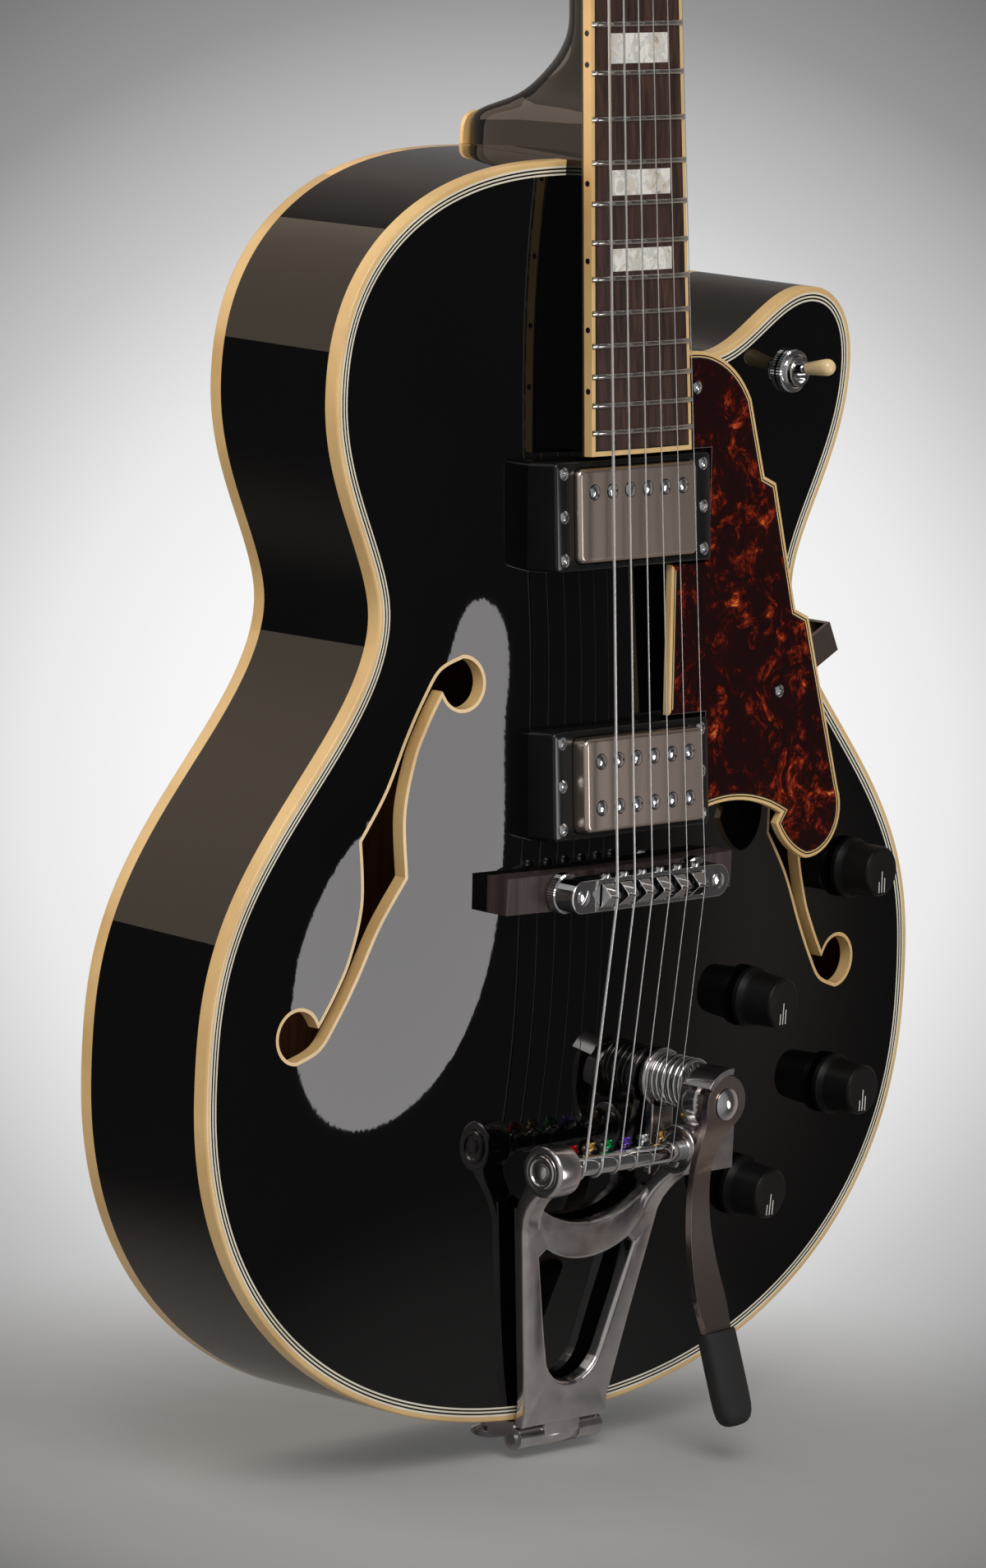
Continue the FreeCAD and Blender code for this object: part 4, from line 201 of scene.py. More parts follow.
GRIP_PROFILE = ((6.0, 0.88), (1.0, 0.90), (0.3, 0.92), (0.0, 0.95), (0.4, 0.98), (1.6, 0.99),
                (12, 1.0), (26, 1.0), (30.5, 0.985), (33.5, 0.93), (35.8, 0.80), (37.2, 0.60),
                (37.8, 0.38), (38.0, 0.12))

# Tuning machines
TUNER_ROWS, TUNER_OFFSET = (46.0, 86.0, 126.0), 26.0
CASE_WIDTH, CASE_LENGTH, CASE_DEPTH, CASE_DROP = 15.0, 19.0, 10.0, 3.175
CASE_CORNER, CASE_ROUND, CASE_CAP = 4.5, 2.4, 0.8
CAP_PROFILE = ((0, 0), (4.8, 0), (4.8, 0.5), (4.4, 0.8), (1.4, 0.8), (1.2, 0.4), (0, 0.4))
BUSHING_RING = ((3.1, 0.0), (6.4, 0.0), (6.4, 0.7), (6.0, 1.4), (5.5, 1.9), (3.1, 2.0))
MIRROR_BACK = Matrix.Scale(-1, 4, (0, 1, 0))

# Photograph's camera and the stage, in metres
CAMERA_PLACE = (-2.4671, -2.2603, 0.7610)
CAMERA_RIGHT = (0.68228, -0.72969, 0.04622)
CAMERA_UP = (0.07979, 0.13715, 0.98741)
CAMERA_BACK = (-0.72678, -0.66994, 0.15178)
CAMERA_LENS, CAMERA_SENSOR, CAMERA_FAR = 197.4, 36.0, 50.0
BACKDROP = ((0.0, 1.0), (1.0, 0.195), (0.25, 0.82), (0.45, 0.565), (0.74, 0.30))
BACKDROP_RATE, BACKDROP_SPAN = 226.0, 1.28
SURROUND = ((0.0, (0.5, 0.5, 0.5)), (1.0, (1.0, 1.0, 1.0)), (0.01, (0.5, 0.5, 0.5)),
            (0.11, (0.90, 0.76, 0.68)), (0.25, (0.72, 0.61, 0.55)), (0.37, (0.24, 0.22, 0.21)),
            (0.42, (0.17, 0.16, 0.16)), (0.60, (0.17, 0.16, 0.16)), (0.72, (0.6, 0.6, 0.6)))
SURROUND_GAIN = 2.0
AMBIENT, AMBIENT_COLOUR = 0.42, (1.0, 0.98, 0.95, 1)
FLOOR_CLEAR, FLOOR_FADE, FLOOR_DROP, FLOOR_WEIGHT, FLOOR_SIDES = 0.08, 0.36, 0.0005, 0.85, 96
FLANK = (-0.10, -0.036, 0.25)

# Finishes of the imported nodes
NODE_FINISHES = {
    "lacquered_wood": ["neck", "headstock_facings", "heel_cap"],
    "inside_wood": ["linings_and_bars", "end_blocks"],
    "cream_binding": ["fretboard_binding"],
    "rosewood": ["fretboard"],
    "pearl": ["fret_markers"],
    "fret_wire": ["frets"],
    "bone": ["nut"],
    "steel": ["truss_rod", "potentiometers", "bar_bearings", "hinge_pin"],
    "string_steel": ["strings", "string_tails"],
    "chrome": ["mounting_screws", "pickup_poles", "bridge_posts", "bridge_body", "bridge_saddles",
               "toggle_switch", "output_jack", "strap_buttons", "tuner_housings", "arm_bolt",
               "string_bar"] + [f"tuner_{kind}_{number}" for kind in ("button", "post")
                                for number in range(1, STRING_COUNT + 1)],
    "brushed_arm": ["pickguard_bracket"],
    "satin_nickel": ["pickup_covers"],
    "black_plastic": ["pickup_rings", "pickup_coils"],
    "knob_plastic": [f"knob_{number}" for number in range(1, len(KNOBS) + 1)],
    "ebony": ["bridge_base"],
    "tortoise": ["pickguard"],
    "cream_plastic": ["switch_lever"],
    "polished_aluminium": ["vibrato_frame", "tail_hinge_plate", "arm_bracket", "vibrato_arm"],
    "spring_steel": ["vibrato_spring"],
    "soft_grip": ["arm_grip"],
}

# Places of the screw heads, gathered while the pieces that they hold are built
SCREWS = []


# Numbers and outlines


def front(height):
    """Y of a point this far in front of the plane of the front edge."""
    return -EDGE - height


def spaced(count, low, high):
    """Numbers at even steps from low to high, both among them."""
    return [low + (high - low) * i / count for i in range(count + 1)]


def smooth_step(run):
    run = min(1, max(0, run))
    return run * run * (3 - 2 * run)


def between(table, place):
    """A value read from a table of (place, value) pairs."""
    for (a, low), (b, high) in zip(table, table[1:]):
        if place <= b:
            return low + (high - low) * max(0, (place - a) / (b - a))
    return table[-1][1]


def circle(count):
    """Cosine and sine at even steps round a circle."""
    return [(math.cos(turn), math.sin(turn)) for turn in spaced(count, 0, 2 * math.pi)[:-1]]


def squared(pairs, power):
    """Points of a circle drawn out towards its corners, or drawn in."""
    return [tuple(math.copysign(abs(part) ** power, part) for part in pair) for pair in pairs]


def half_circle(count):
    return [(math.cos(turn), math.sin(turn)) for turn in spaced(count, 0, math.pi)]


def quarter_round(radius, steps):
    """A rounded corner as (inset, drop) pairs, from the side to the face."""
    turns = spaced(steps, 0, math.pi / 2)
    return [(radius * (1 - math.cos(turn)), radius * (1 - math.sin(turn))) for turn in turns]


def resampled(points, step):
    """Points at even steps along a polyline."""
    lengths = [0.0]
    for a, b in zip(points, points[1:]):
        lengths.append(lengths[-1] + math.dist(a, b))
    result, k = [], 0
    for want in spaced(max(2, round(lengths[-1] / step)), 0, lengths[-1]):
        while k < len(points) - 2 and lengths[k + 1] < want:
            k += 1
        span = lengths[k + 1] - lengths[k]
        t = (want - lengths[k]) / span if span else 0
        result.append(tuple(a + (b - a) * t for a, b in zip(points[k], points[k + 1])))
    return result


def smoothed(points, passes):
    """A polyline eased between fixed ends."""
    for _ in range(passes):
        eased = [points[0]]
        for a, b, c in zip(points, points[1:], points[2:]):
            eased.append(tuple((p + 2 * q + r) / 4 for p, q, r in zip(a, b, c)))
        points = eased + [points[-1]]
    return points


def through(points, steps=10):
    """A smooth curve through points, without its last point."""
    padded = [points[0], *points, points[-1]]
    curve = []
    for knots in zip(padded, padded[1:], padded[2:], padded[3:]):
        for i in range(steps):
            t = i / steps
            curve.append(tuple(
                0.5 * (2 * q + (r - p) * t + (2 * p - 5 * q + 4 * r - s) * t * t
                       + (3 * q - p - 3 * r + s) * t ** 3) for p, q, r, s in zip(*knots)))
    return curve


def arc(a, b, c, steps=12):
    """Points of the circle through three points, without the last."""
    (ax, ay), (bx, by), (cx, cy) = a, b, c
    scale = 2 * (ax * (by - cy) + bx * (cy - ay) + cx * (ay - by))
    sa, sb, sc = ax * ax + ay * ay, bx * bx + by * by, cx * cx + cy * cy
    ox = (sa * (by - cy) + sb * (cy - ay) + sc * (ay - by)) / scale
    oy = (sa * (cx - bx) + sb * (ax - cx) + sc * (bx - ax)) / scale
    start, middle, end = (math.atan2(y - oy, x - ox) for x, y in (a, b, c))
    turn = (end - start) % (2 * math.pi)
    if (middle - start) % (2 * math.pi) > turn:
        turn -= 2 * math.pi
    radius = math.hypot(ax - ox, ay - oy)
    angles = spaced(steps, start, start + turn)[:-1]
    return [(ox + radius * math.cos(angle), oy + radius * math.sin(angle)) for angle in angles]


def inset(loop, distance):
    """A closed loop moved inwards, with mitred corners."""
    area = sum(a[0] * b[1] - b[0] * a[1] for a, b in zip(loop, loop[1:] + loop[:1]))
    side = 1 if area > 0 else -1
    shifted = []
    for before, here, after in zip(loop[-1:] + loop[:-1], loop, loop[1:] + loop[:1]):
        normals = []
        for a, b in ((before, here), (here, after)):
            length = math.dist(a, b) or 1
            normals.append((-(b[1] - a[1]) / length * side, (b[0] - a[0]) / length * side))
        mean = [(p + q) / 2 for p, q in zip(*normals)]
        scale = distance / max(0.3, mean[0] ** 2 + mean[1] ** 2)
        shifted.append((here[0] + mean[0] * scale, here[1] + mean[1] * scale))
    return shifted


def inside(spot, loop):
    x, z = spot
    odd = False
    for (ax, az), (bx, bz) in zip(loop, loop[1:] + loop[:1]):
        if (az > z) != (bz > z) and x < ax + (z - az) / (bz - az) * (bx - ax):
            odd = not odd
    return odd


def edge_distance(loop, centre, way):
    """How far a loop's edge lies from a centre in a direction."""
    reach = 0.0
    for a, b in zip(loop, loop[1:] + loop[:1]):
        far = centre + way * BODY_LENGTH
        hit = geometry.intersect_line_line_2d(centre, far, Vector(a), Vector(b))
        if hit:
            reach = max(reach, (hit - centre).length)
    return reach


def rounded_box(width, length, corner, centre=(0, 0)):
    """A rectangle with round corners."""
    loop = []
    for sx, sz, start in ((1, 1, 0), (-1, 1, 90), (-1, -1, 180), (1, -1, 270)):
        for degrees in spaced(6, start, start + 90):
            angle = math.radians(degrees)
            loop.append((centre[0] + sx * (width / 2 - corner) + corner * math.cos(angle),
                         centre[1] + sz * (length / 2 - corner) + corner * math.sin(angle)))
    return loop


# Meshes as (points, faces)


def skin(loops, closed_along=False, closed_round=True, caps=False):
    """Faces between loops of equal length; the loops may close on the first, or end in caps."""
    count = len(loops[0])
    points = [point for loop in loops for point in loop]
    faces = []
    for i in range(len(loops) if closed_along else len(loops) - 1):
        a, b = i * count, (i + 1) % len(loops) * count
        for j in range(count if closed_round else count - 1):
            k = (j + 1) % count
            faces.append((a + j, a + k, b + k, b + j))
    if caps:
        faces.append(tuple(reversed(range(count))))
        faces.append(tuple(range((len(loops) - 1) * count, len(loops) * count)))
    return points, faces


def lathe(profile, sides, teeth=0.0, hollow=False):
    """A turned piece about local Z; teeth notch every other side."""
    loops = []
    for radius, height in profile:
        loop = []
        for i, (c, s) in enumerate(circle(sides)):
            reach = max(radius, AXIS_GAP) - (teeth if i % 2 and radius > teeth else 0)
            loop.append((reach * c, reach * s, height))
        loops.append(loop)
    return skin(loops, closed_along=hollow, caps=not hollow)


def turned(profile, sides, spot, direction, teeth=0.0, hollow=False):
    """A turned piece that stands on a spot."""
    return moved(lathe(profile, sides, teeth, hollow), aimed(spot, direction))


def pin(radius, low, high):
    """Profile of a plain pin."""
    return [(0, low), (radius, low), (radius, high), (0, high)]


def drum(radius, length, ease):
    """Profile of a short cylinder with eased edges."""
    return [(0, 0), (radius - ease, 0), (radius, ease), (radius, length - ease),
            (radius - ease, length), (0, length)]


def tube(path, radius, sides):
    """A round wire along a path."""
    loops = []
    across = Vector((1, 0, 0))
    for i, spot in enumerate(path):
        ahead = Vector(path[min(i + 1, len(path) - 1)]) - Vector(path[max(i - 1, 0)])
        ahead.normalize()
        across = (across - ahead * across.dot(ahead)).normalized()
        third = ahead.cross(across)
        loops.append([tuple(Vector(spot) + radius * (c * across + s * third))
                      for c, s in circle(sides)])
    return skin(loops, caps=True)


def levels(loop, rows):
    """Copies of an outline, one for each (inset, Y) row."""
    return [[(x, y, z) for x, z in inset(loop, distance)] for distance, y in rows]


def slab(loop, low, high, rounding=0.0, steps=3):
    """An outline filled between two Y levels, its edge at the first level rounded."""
    corner = quarter_round(rounding, steps) if rounding else [(0.0, 0.0)]
    rows = [(0.0, high)] + [(distance, low + drop) for distance, drop in corner]
    return skin(levels(loop, rows), caps=True)


def ring(loop, section):
    """A strip round a closed outline; the section gives (inset, Y) corners."""
    return skin(levels(loop, section), closed_along=True)


def inlay(surface, outer, inner, top, bottom):
    """A strip let into a surface between two outlines."""
    corners = ((outer, top), (inner, top), (inner, bottom), (outer, bottom))
    loops = [[surface(x, z, lift) for x, z in loop] for loop, lift in corners]
    return skin(loops, closed_along=True)


def moved(shape, place):
    points, faces = shape
    return [tuple(place @ Vector(point)) for point in points], faces


def merged(shapes):
    points, faces = [], []
    for more, ribbons in shapes:
        faces += [tuple(len(points) + i for i in face) for face in ribbons]
        points += more
    return points, faces


def screw_head(radius, rise, cross=True):
    """A domed head with a cross or a slot sunk into it, about local Z."""
    marks = (0.0, SLIT - 0.04, SLIT, 0.4, SLIT_REACH - 0.03, SLIT_REACH + 0.03, 0.86, 1.0)
    stations = [-mark for mark in reversed(marks[1:])] + list(marks)
    count = len(stations)
    grid = []
    for u in stations:
        row = []
        for v in stations:
            x, y = u * math.sqrt(1 - v * v / 2), v * math.sqrt(1 - u * u / 2)
            height = rise * (1 - SCREW_DOME * (x * x + y * y))
            along_u = abs(u) < SLIT and (abs(v) < SLIT_REACH or not cross)
            along_v = cross and abs(v) < SLIT and abs(u) < SLIT_REACH
            if along_u or along_v:
                height -= SLIT_DEPTH * rise
            row.append((x * radius, y * radius, height))
        grid.append(row)
    points, faces = skin(grid, closed_round=False)
    last = count - 1
    rim = list(range(last)) + [i * count + last for i in range(last)]
    rim += [last * count + j for j in range(last, 0, -1)] + [i * count for i in range(last, 0, -1)]
    start = len(points)
    points += [(points[i][0], points[i][1], -SCREW_SINK) for i in rim]
    for k in range(len(rim)):
        n = (k + 1) % len(rim)
        faces.append((rim[k], rim[n], start + n, start + k))
    return points, faces


# Places


def aimed(spot, direction):
    """A frame at a spot whose Z runs along a direction."""
    turn = Vector(direction).to_track_quat("Z", "Y")
    return Matrix.Translation(spot) @ turn.to_matrix().to_4x4()


def tilted(spot, degrees):
    """A frame at a spot, tilted back from the front plane."""
    return Matrix.Translation(spot) @ Matrix.Rotation(math.radians(-degrees), 4, "X")


def facing(place, spot):
    """A frame at a spot of another, whose Z looks to the front."""
    return place @ Matrix.Translation(spot) @ Matrix.Rotation(math.pi / 2, 4, "X")


def spun(degrees):
    return Matrix.Rotation(math.radians(degrees), 4, "Z")


NECK = tilted((0, front(BOARD_HEIGHT), BRIDGE_STATION), NECK_ANGLE)


def head_place():
    start = Matrix.Translation((0, BOARD_THICKNESS - HEAD_FACING, fret_z(0) + NUT_LENGTH))
    return NECK @ start @ Matrix.Rotation(math.radians(-HEAD_ANGLE), 4, "X")


def arm_place():
    x, height, z = ARM_EYE
    turn = Matrix.Rotation(math.radians(-ARM_SPLAY), 4, "Y")
    return Matrix.Translation((x, front(height), z)) @ turn


# Pieces


def piece(name, shape, finish, body="body", nodes=(), crease=CREASE):
    """An object from a mesh in millimetres."""
    points, faces = shape
    mesh = bpy.data.meshes.new(name)
    mesh.from_pydata([Vector(point) * MM for point in points], [], faces)
    return dress(name, mesh, finish, body, nodes, crease)


def dress(name, mesh, finish, body, nodes, crease=CREASE):
    """An object that has a finish, rides on a body if it has one, and may stand for CAD nodes."""
    shape = bmesh.new()
    shape.from_mesh(mesh)
    bmesh.ops.recalc_face_normals(shape, faces=shape.faces)
    shape.to_mesh(mesh)
    shape.free()
    mesh.shade_smooth()
    mesh.set_sharp_from_angle(angle=math.radians(crease))
    for face in mesh.polygons:
        face.use_smooth = len(face.vertices) < FLAT_CORNERS
    mesh.materials.clear()
    mesh.materials.append(FINISHES[finish])
    obj = bpy.data.objects.new(name, mesh)
    bpy.context.scene.collection.objects.link(obj)
    if body:
        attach(obj, body)
    if nodes:
        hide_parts(*nodes)
    return obj


def second_finish(obj, finish, faces):
    """Another finish on some of a piece's faces."""
    obj.data.materials.append(FINISHES[finish])
    for index in faces:
        obj.data.polygons[index].material_index = 1


def bevelled(obj, width):
    """Rounds the sharp edges of a piece."""
    edge = obj.modifiers.new("rounding", "BEVEL")
    edge.width = width * MM
    edge.segments = BEVEL_SEGMENTS
    edge.limit_method = "ANGLE"
    edge.angle_limit = math.radians(BEVEL_LIMIT)
    edge.harden_normals = True


def softened(node, finish, width, body="body", reshape=None):
    """A copy of a CAD node with rounded edges, perhaps reshaped, which stands for it."""
    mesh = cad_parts[node].data.copy()
    if reshape:
        for corner in mesh.vertices:
            corner.co = reshape(corner.co / MM) * MM
    shape = bmesh.new()
    shape.from_mesh(mesh)
    bmesh.ops.remove_doubles(shape, verts=shape.verts, dist=1e-6)
    bmesh.ops.dissolve_limit(shape, angle_limit=math.radians(1), verts=shape.verts,
                             edges=shape.edges)
    shape.to_mesh(mesh)
    shape.free()
    bevelled(dress(node + "_rounded", mesh, finish, body, [node]), width)


# Materials


class Nodes:
    """A node tree and short ways to fill it."""

    def __init__(self, tree):
        self.tree = tree

    def add(self, kind, inputs=None, **settings):
        made = self.tree.nodes.new(kind)
        for name, amount in settings.items():
            setattr(made, name, amount)
        for name, amount in (inputs or {}).items():
            self.feed(made.inputs[name], amount)
        return made

    def feed(self, socket, source):
        if isinstance(source, bpy.types.NodeSocket):
            self.tree.links.new(source, socket)
        else:
            socket.default_value = source

    def ramp(self, amount, stops):
        """Colours by place; the two ends of the ramp come first."""
        made = self.add("ShaderNodeValToRGB", {"Fac": amount})
        colours = made.color_ramp.elements
        for index, (place, colour) in enumerate(stops):
            stop = colours[index] if index < 2 else colours.new(place)
            stop.position = place
            stop.color = (*colour, 1)
        return made.outputs["Color"]


class Finish(Nodes):
    """A procedural material: one principled shader and the nodes that feed it."""

    def __init__(self, name, **sockets):
        self.material = bpy.data.materials.new(name)
        self.material.use_nodes = True
        super().__init__(self.material.node_tree)
        self.shader = self.tree.nodes["Principled BSDF"]
        for socket, amount in sockets.items():
            self.shader.inputs[socket.replace("_", " ")].default_value = amount

    def place(self, scale=(1, 1, 1)):
        """Places on the object in metres, stretched by a scale."""
        spot = self.add("ShaderNodeTexCoord").outputs["Object"]
        return self.add("ShaderNodeMapping", {"Vector": spot, "Scale": scale}).outputs[0]

    def noise(self, where, scale, detail=4.0, rough=0.5, warp=0.0):
        made = self.add("ShaderNodeTexNoise", {"Vector": where, "Scale": scale, "Detail": detail,
                                               "Roughness": rough, "Distortion": warp})
        return made.outputs["Fac"]

    def colour(self, amount, *stops):
        self.feed(self.shader.inputs["Base Color"], self.ramp(amount, stops))

    def rough(self, amount, low, high):
        """Roughness between two ends, driven by a texture."""
        made = self.add("ShaderNodeMapRange", {"Value": amount, "To Min": low, "To Max": high})
        self.feed(self.shader.inputs["Roughness"], made.outputs[0])

    def bump(self, amount, strength, distance=0.0002):
        made = self.add("ShaderNodeBump", {"Height": amount, "Strength": strength,
                                           "Distance": distance})
        self.feed(self.shader.inputs["Normal"], made.outputs[0])


def lacquer():
    made = Finish("lacquered_wood", Coat_Weight=0.0, IOR=1.5)
    where = made.place()
    haze = made.noise(where, 9.0)
    made.colour(haze, (0.3, (0.0010, 0.0009, 0.0009)), (0.75, (0.0020, 0.0018, 0.0018)))
    made.rough(made.noise(where, 30.0), 0.008, 0.022)
    made.bump(made.noise(where, 420.0, 2.0), 0.008)
    return made.material


def inside_wood():
    made = Finish("inside_wood", Roughness=0.6)
    grain = made.noise(made.place((60, 60, 4)), 3.0, 6.0, 0.6, 0.6)
    made.colour(grain, (0.3, (0.16, 0.055, 0.024)), (0.7, (0.34, 0.13, 0.06)))
    made.bump(grain, 0.2, 0.0005)
    return made.material


def celluloid(name, dark, pale, rough=0.24):
    made = Finish(name, Coat_Weight=0.35, Coat_Roughness=0.12)
    where = made.place()
    made.colour(made.noise(where, 26.0, 5.0), (0.3, dark), (0.7, pale))
    made.rough(made.noise(where, 90.0), rough - 0.06, rough + 0.08)
    made.bump(made.noise(where, 260.0), 0.05)
    return made.material


def streaked_wood(name, dark, pale):
    made = Finish(name, Specular_IOR_Level=0.35)
    streak = made.noise(made.place((130, 130, 5)), 2.4, 8.0, 0.65, 0.8)
    made.colour(streak, (0.32, dark), (0.68, pale))
    pores = made.noise(made.place((900, 900, 40)), 2.0, 3.0)
    made.rough(pores, 0.38, 0.62)
    made.bump(pores, 0.25, 0.0003)
    return made.material


def pearl():
    made = Finish("pearl", Coat_Weight=0.6, Coat_Roughness=0.06, Metallic=0.12)
    cell = made.add("ShaderNodeTexVoronoi", {"Vector": made.place((1, 1, 0.6)), "Scale": 110.0})
    cloud = made.noise(made.place(), 120.0, 5.0, 0.6, 2.2)
    shade = made.add("ShaderNodeMath", {0: cell.outputs["Distance"], 1: cloud, 2: cloud},
                     operation="MULTIPLY_ADD")
    made.colour(shade.outputs[0], (0.38, (0.34, 0.29, 0.24)), (0.85, (0.93, 0.90, 0.84)),
                (0.55, (0.80, 0.70, 0.58)), (0.68, (0.66, 0.66, 0.64)))
    made.rough(cloud, 0.12, 0.3)
    return made.material


def metal(name, colour, rough, brushed=(1, 1, 1), spread=0.06):
    made = Finish(name, Metallic=1.0)
    cloud = made.noise(made.place(brushed), 160.0, 4.0)
    made.colour(cloud, (0.25, tuple(0.82 * part for part in colour)), (0.75, colour))
    made.rough(cloud, max(0.02, rough - spread), rough + spread)
    return made.material


def tortoise():
    made = Finish("tortoise", IOR=1.38, Roughness=0.06)
    where = made.place()
    blot = made.noise(where, 34.0, 7.0, 0.62, 1.4)
    fleck = made.noise(where, 95.0, 6.0, 0.7, 2.0)
    mixed = made.add("ShaderNodeMath", {0: blot, 1: fleck}, operation="MULTIPLY")
    made.colour(mixed.outputs[0], (0.21, (0.011, 0.0022, 0.0026)), (0.43, (0.95, 0.36, 0.06)),
                (0.27, (0.020, 0.002, 0.0015)), (0.315, (0.12, 0.009, 0.003)),
                (0.37, (0.36, 0.04, 0.010)))
    return made.material


def plastic(name, colour, rough, grain=0.0, ior=1.5):
    made = Finish(name, IOR=ior)
    where = made.place()
    cloud = made.noise(where, 70.0, 5.0)
    made.colour(cloud, (0.3, tuple(0.75 * part for part in colour)), (0.7, colour))
    made.rough(cloud, rough * 0.8, rough * 1.2)
    if grain:
        made.bump(made.noise(where, 1600.0, 2.0), grain)
    return made.material


def string_steel():
    made = Finish("string_steel", Metallic=1.0)
    wave = made.add("ShaderNodeTexWave", {"Vector": made.place(), "Scale": 900.0},
                    bands_direction="Z")
    wraps = wave.outputs["Fac"]
    made.colour(wraps, (0.2, (0.66, 0.65, 0.63)), (0.8, (0.90, 0.89, 0.87)))
    made.rough(wraps, 0.3, 0.2)
    return made.material


FINISHES = {made.name: made for made in (
    lacquer(),
    inside_wood(),
    celluloid("cream_binding", (0.62, 0.40, 0.165), (0.80, 0.56, 0.26)),
    celluloid("bone", (0.72, 0.66, 0.52), (0.84, 0.80, 0.68), 0.35),
    celluloid("cream_plastic", (0.70, 0.50, 0.25), (0.82, 0.64, 0.36), 0.3),
    streaked_wood("rosewood", (0.010, 0.0045, 0.0035), (0.075, 0.033, 0.024)),
    streaked_wood("ebony", (0.022, 0.014, 0.013), (0.075, 0.050, 0.047)),
    pearl(),
    tortoise(),
    string_steel(),
    metal("fret_wire", (0.72, 0.70, 0.66), 0.16),
    metal("steel", (0.46, 0.46, 0.46), 0.26),
    metal("chrome", (0.74, 0.74, 0.75), 0.07, spread=0.03),
    metal("satin_nickel", (0.64, 0.54, 0.47), 0.3, (0.6, 0.6, 0.02), 0.03),
    metal("polished_aluminium", (0.76, 0.71, 0.70), 0.2, spread=0.05),
    metal("spring_steel", (0.70, 0.70, 0.70), 0.1),
    metal("brushed_arm", (0.40, 0.33, 0.29), 0.22, (60, 60, 1)),
    metal("ball_red", (0.60, 0.02, 0.03), 0.2),
    metal("ball_brass", (0.62, 0.42, 0.16), 0.2),
    metal("ball_green", (0.02, 0.40, 0.12), 0.2),
    metal("ball_purple", (0.20, 0.10, 0.55), 0.2),
    plastic("black_plastic", (0.008, 0.008, 0.008), 0.16),
    plastic("knob_plastic", (0.004, 0.0035, 0.0035), 0.45, 0.15, 1.3),
    plastic("soft_grip", (0.010, 0.0095, 0.010), 0.7, 0.35),
    plastic("black_line", (0.006, 0.006, 0.006), 0.3),
    plastic("white_line", (0.82, 0.80, 0.77), 0.4),
)}


# Body


def superellipse(run, exponent):
    return (1 - min(1, run) ** exponent) ** (1 / exponent)


def half_width(z):
    """Half the body's width at a height, on the side without the cutaway."""
    if z <= LOWER_STATION:
        return LOWER_HALF * superellipse(abs(1 - z / LOWER_STATION), LOWER_FULLNESS)
    if z <= WAIST_STATION:
        run = (z - LOWER_STATION) / (WAIST_STATION - LOWER_STATION)
        swell = math.cos(math.pi / 2 * run ** FLANK_SKEW) ** 2
        return WAIST_HALF + (LOWER_HALF - WAIST_HALF) * swell
    if z <= UPPER_STATION:
        run = (z - WAIST_STATION) / (UPPER_STATION - WAIST_STATION)
        swell = math.sin(math.pi / 2 * run ** SHOULDER_SKEW) ** 2
        return WAIST_HALF + (UPPER_HALF - WAIST_HALF) * swell
    run = (z - UPPER_STATION) / (BODY_LENGTH - UPPER_STATION)
    return JOINT_HALF + (UPPER_HALF - JOINT_HALF) * superellipse(run, UPPER_FULLNESS)


def body_outline():
    """From the neck joint down the bass side, round the tail, up the treble side and the cutaway."""
    angles = spaced(60, 0, math.pi / 2)
    quarter = [(math.cos(angle), math.sin(angle)) for angle in angles[:-1]]
    shoulder = []
    for c, s in squared(quarter, 2 / UPPER_FULLNESS):
        shoulder.append((-JOINT_HALF - (UPPER_HALF - JOINT_HALF) * s,
                         UPPER_STATION + (BODY_LENGTH - UPPER_STATION) * c))
    flank = [(-half_width(z), z) for z in spaced(120, UPPER_STATION, LOWER_STATION)[:-1]]
    for c, s in squared(quarter, 2 / LOWER_FULLNESS):
        flank.append((-LOWER_HALF * c, LOWER_STATION * (1 - s)))
    cutaway = []
    for c, s in squared(quarter, 2 / HORN_FULLNESS):
        cutaway.append((HORN_TIP + (UPPER_HALF - HORN_TIP) * c,
                        UPPER_STATION + (HORN_STATION - UPPER_STATION) * s))
    for angle in angles[:-1]:
        rise = (HORN_STATION - SCOOP_STATION) * math.cos(angle) ** 2
        run = angle / (math.pi / 2)
        cutaway.append((HORN_TIP + (SCOOP_OFFSET - HORN_TIP) * run, SCOOP_STATION + rise))
    for angle in angles:
        rise = (SCOOP_TOP - SCOOP_STATION) * (1 - math.cos(angle))
        cutaway.append((SCOOP_OFFSET - (SCOOP_OFFSET - JOINT_HALF) * math.sin(angle),
                        SCOOP_STATION + rise))
    treble = [(-x, z) for x, z in reversed(flank[1:])]
    sharp = resampled(shoulder + flank + [(0, 0)] + treble + cutaway, OUTLINE_STEP)
    curve = smoothed(sharp, OUTLINE_PASSES)
    joint = [curve[-1], (JOINT_HALF, BODY_LENGTH), (-JOINT_HALF, BODY_LENGTH)]
    return curve + resampled(joint, OUTLINE_STEP)[1:-1]


OUTLINE = body_outline()


def f_hole(side):
    """Outline of an f-hole: two hooked halves, each the other turned half round."""
    x, z = F_EYE_SPOT
    outer = through([F_NICK, *F_OUTER, (x, z + F_EYE)])
    angles = spaced(40, math.pi / 2, math.radians(F_NOTCH) - 2 * math.pi)
    hook = [(x + F_EYE * math.cos(angle), z + F_EYE * math.sin(angle)) for angle in angles]
    inner = through([hook[-1], *F_INNER, (-F_NICK[0], -F_NICK[1])])
    half = outer + hook[:-1] + inner
    whole = half + [(-x, -z) for x, z in half]
    return [(side * F_OFFSET + (x if side < 0 else -x), F_STATION + z) for x, z in whole]


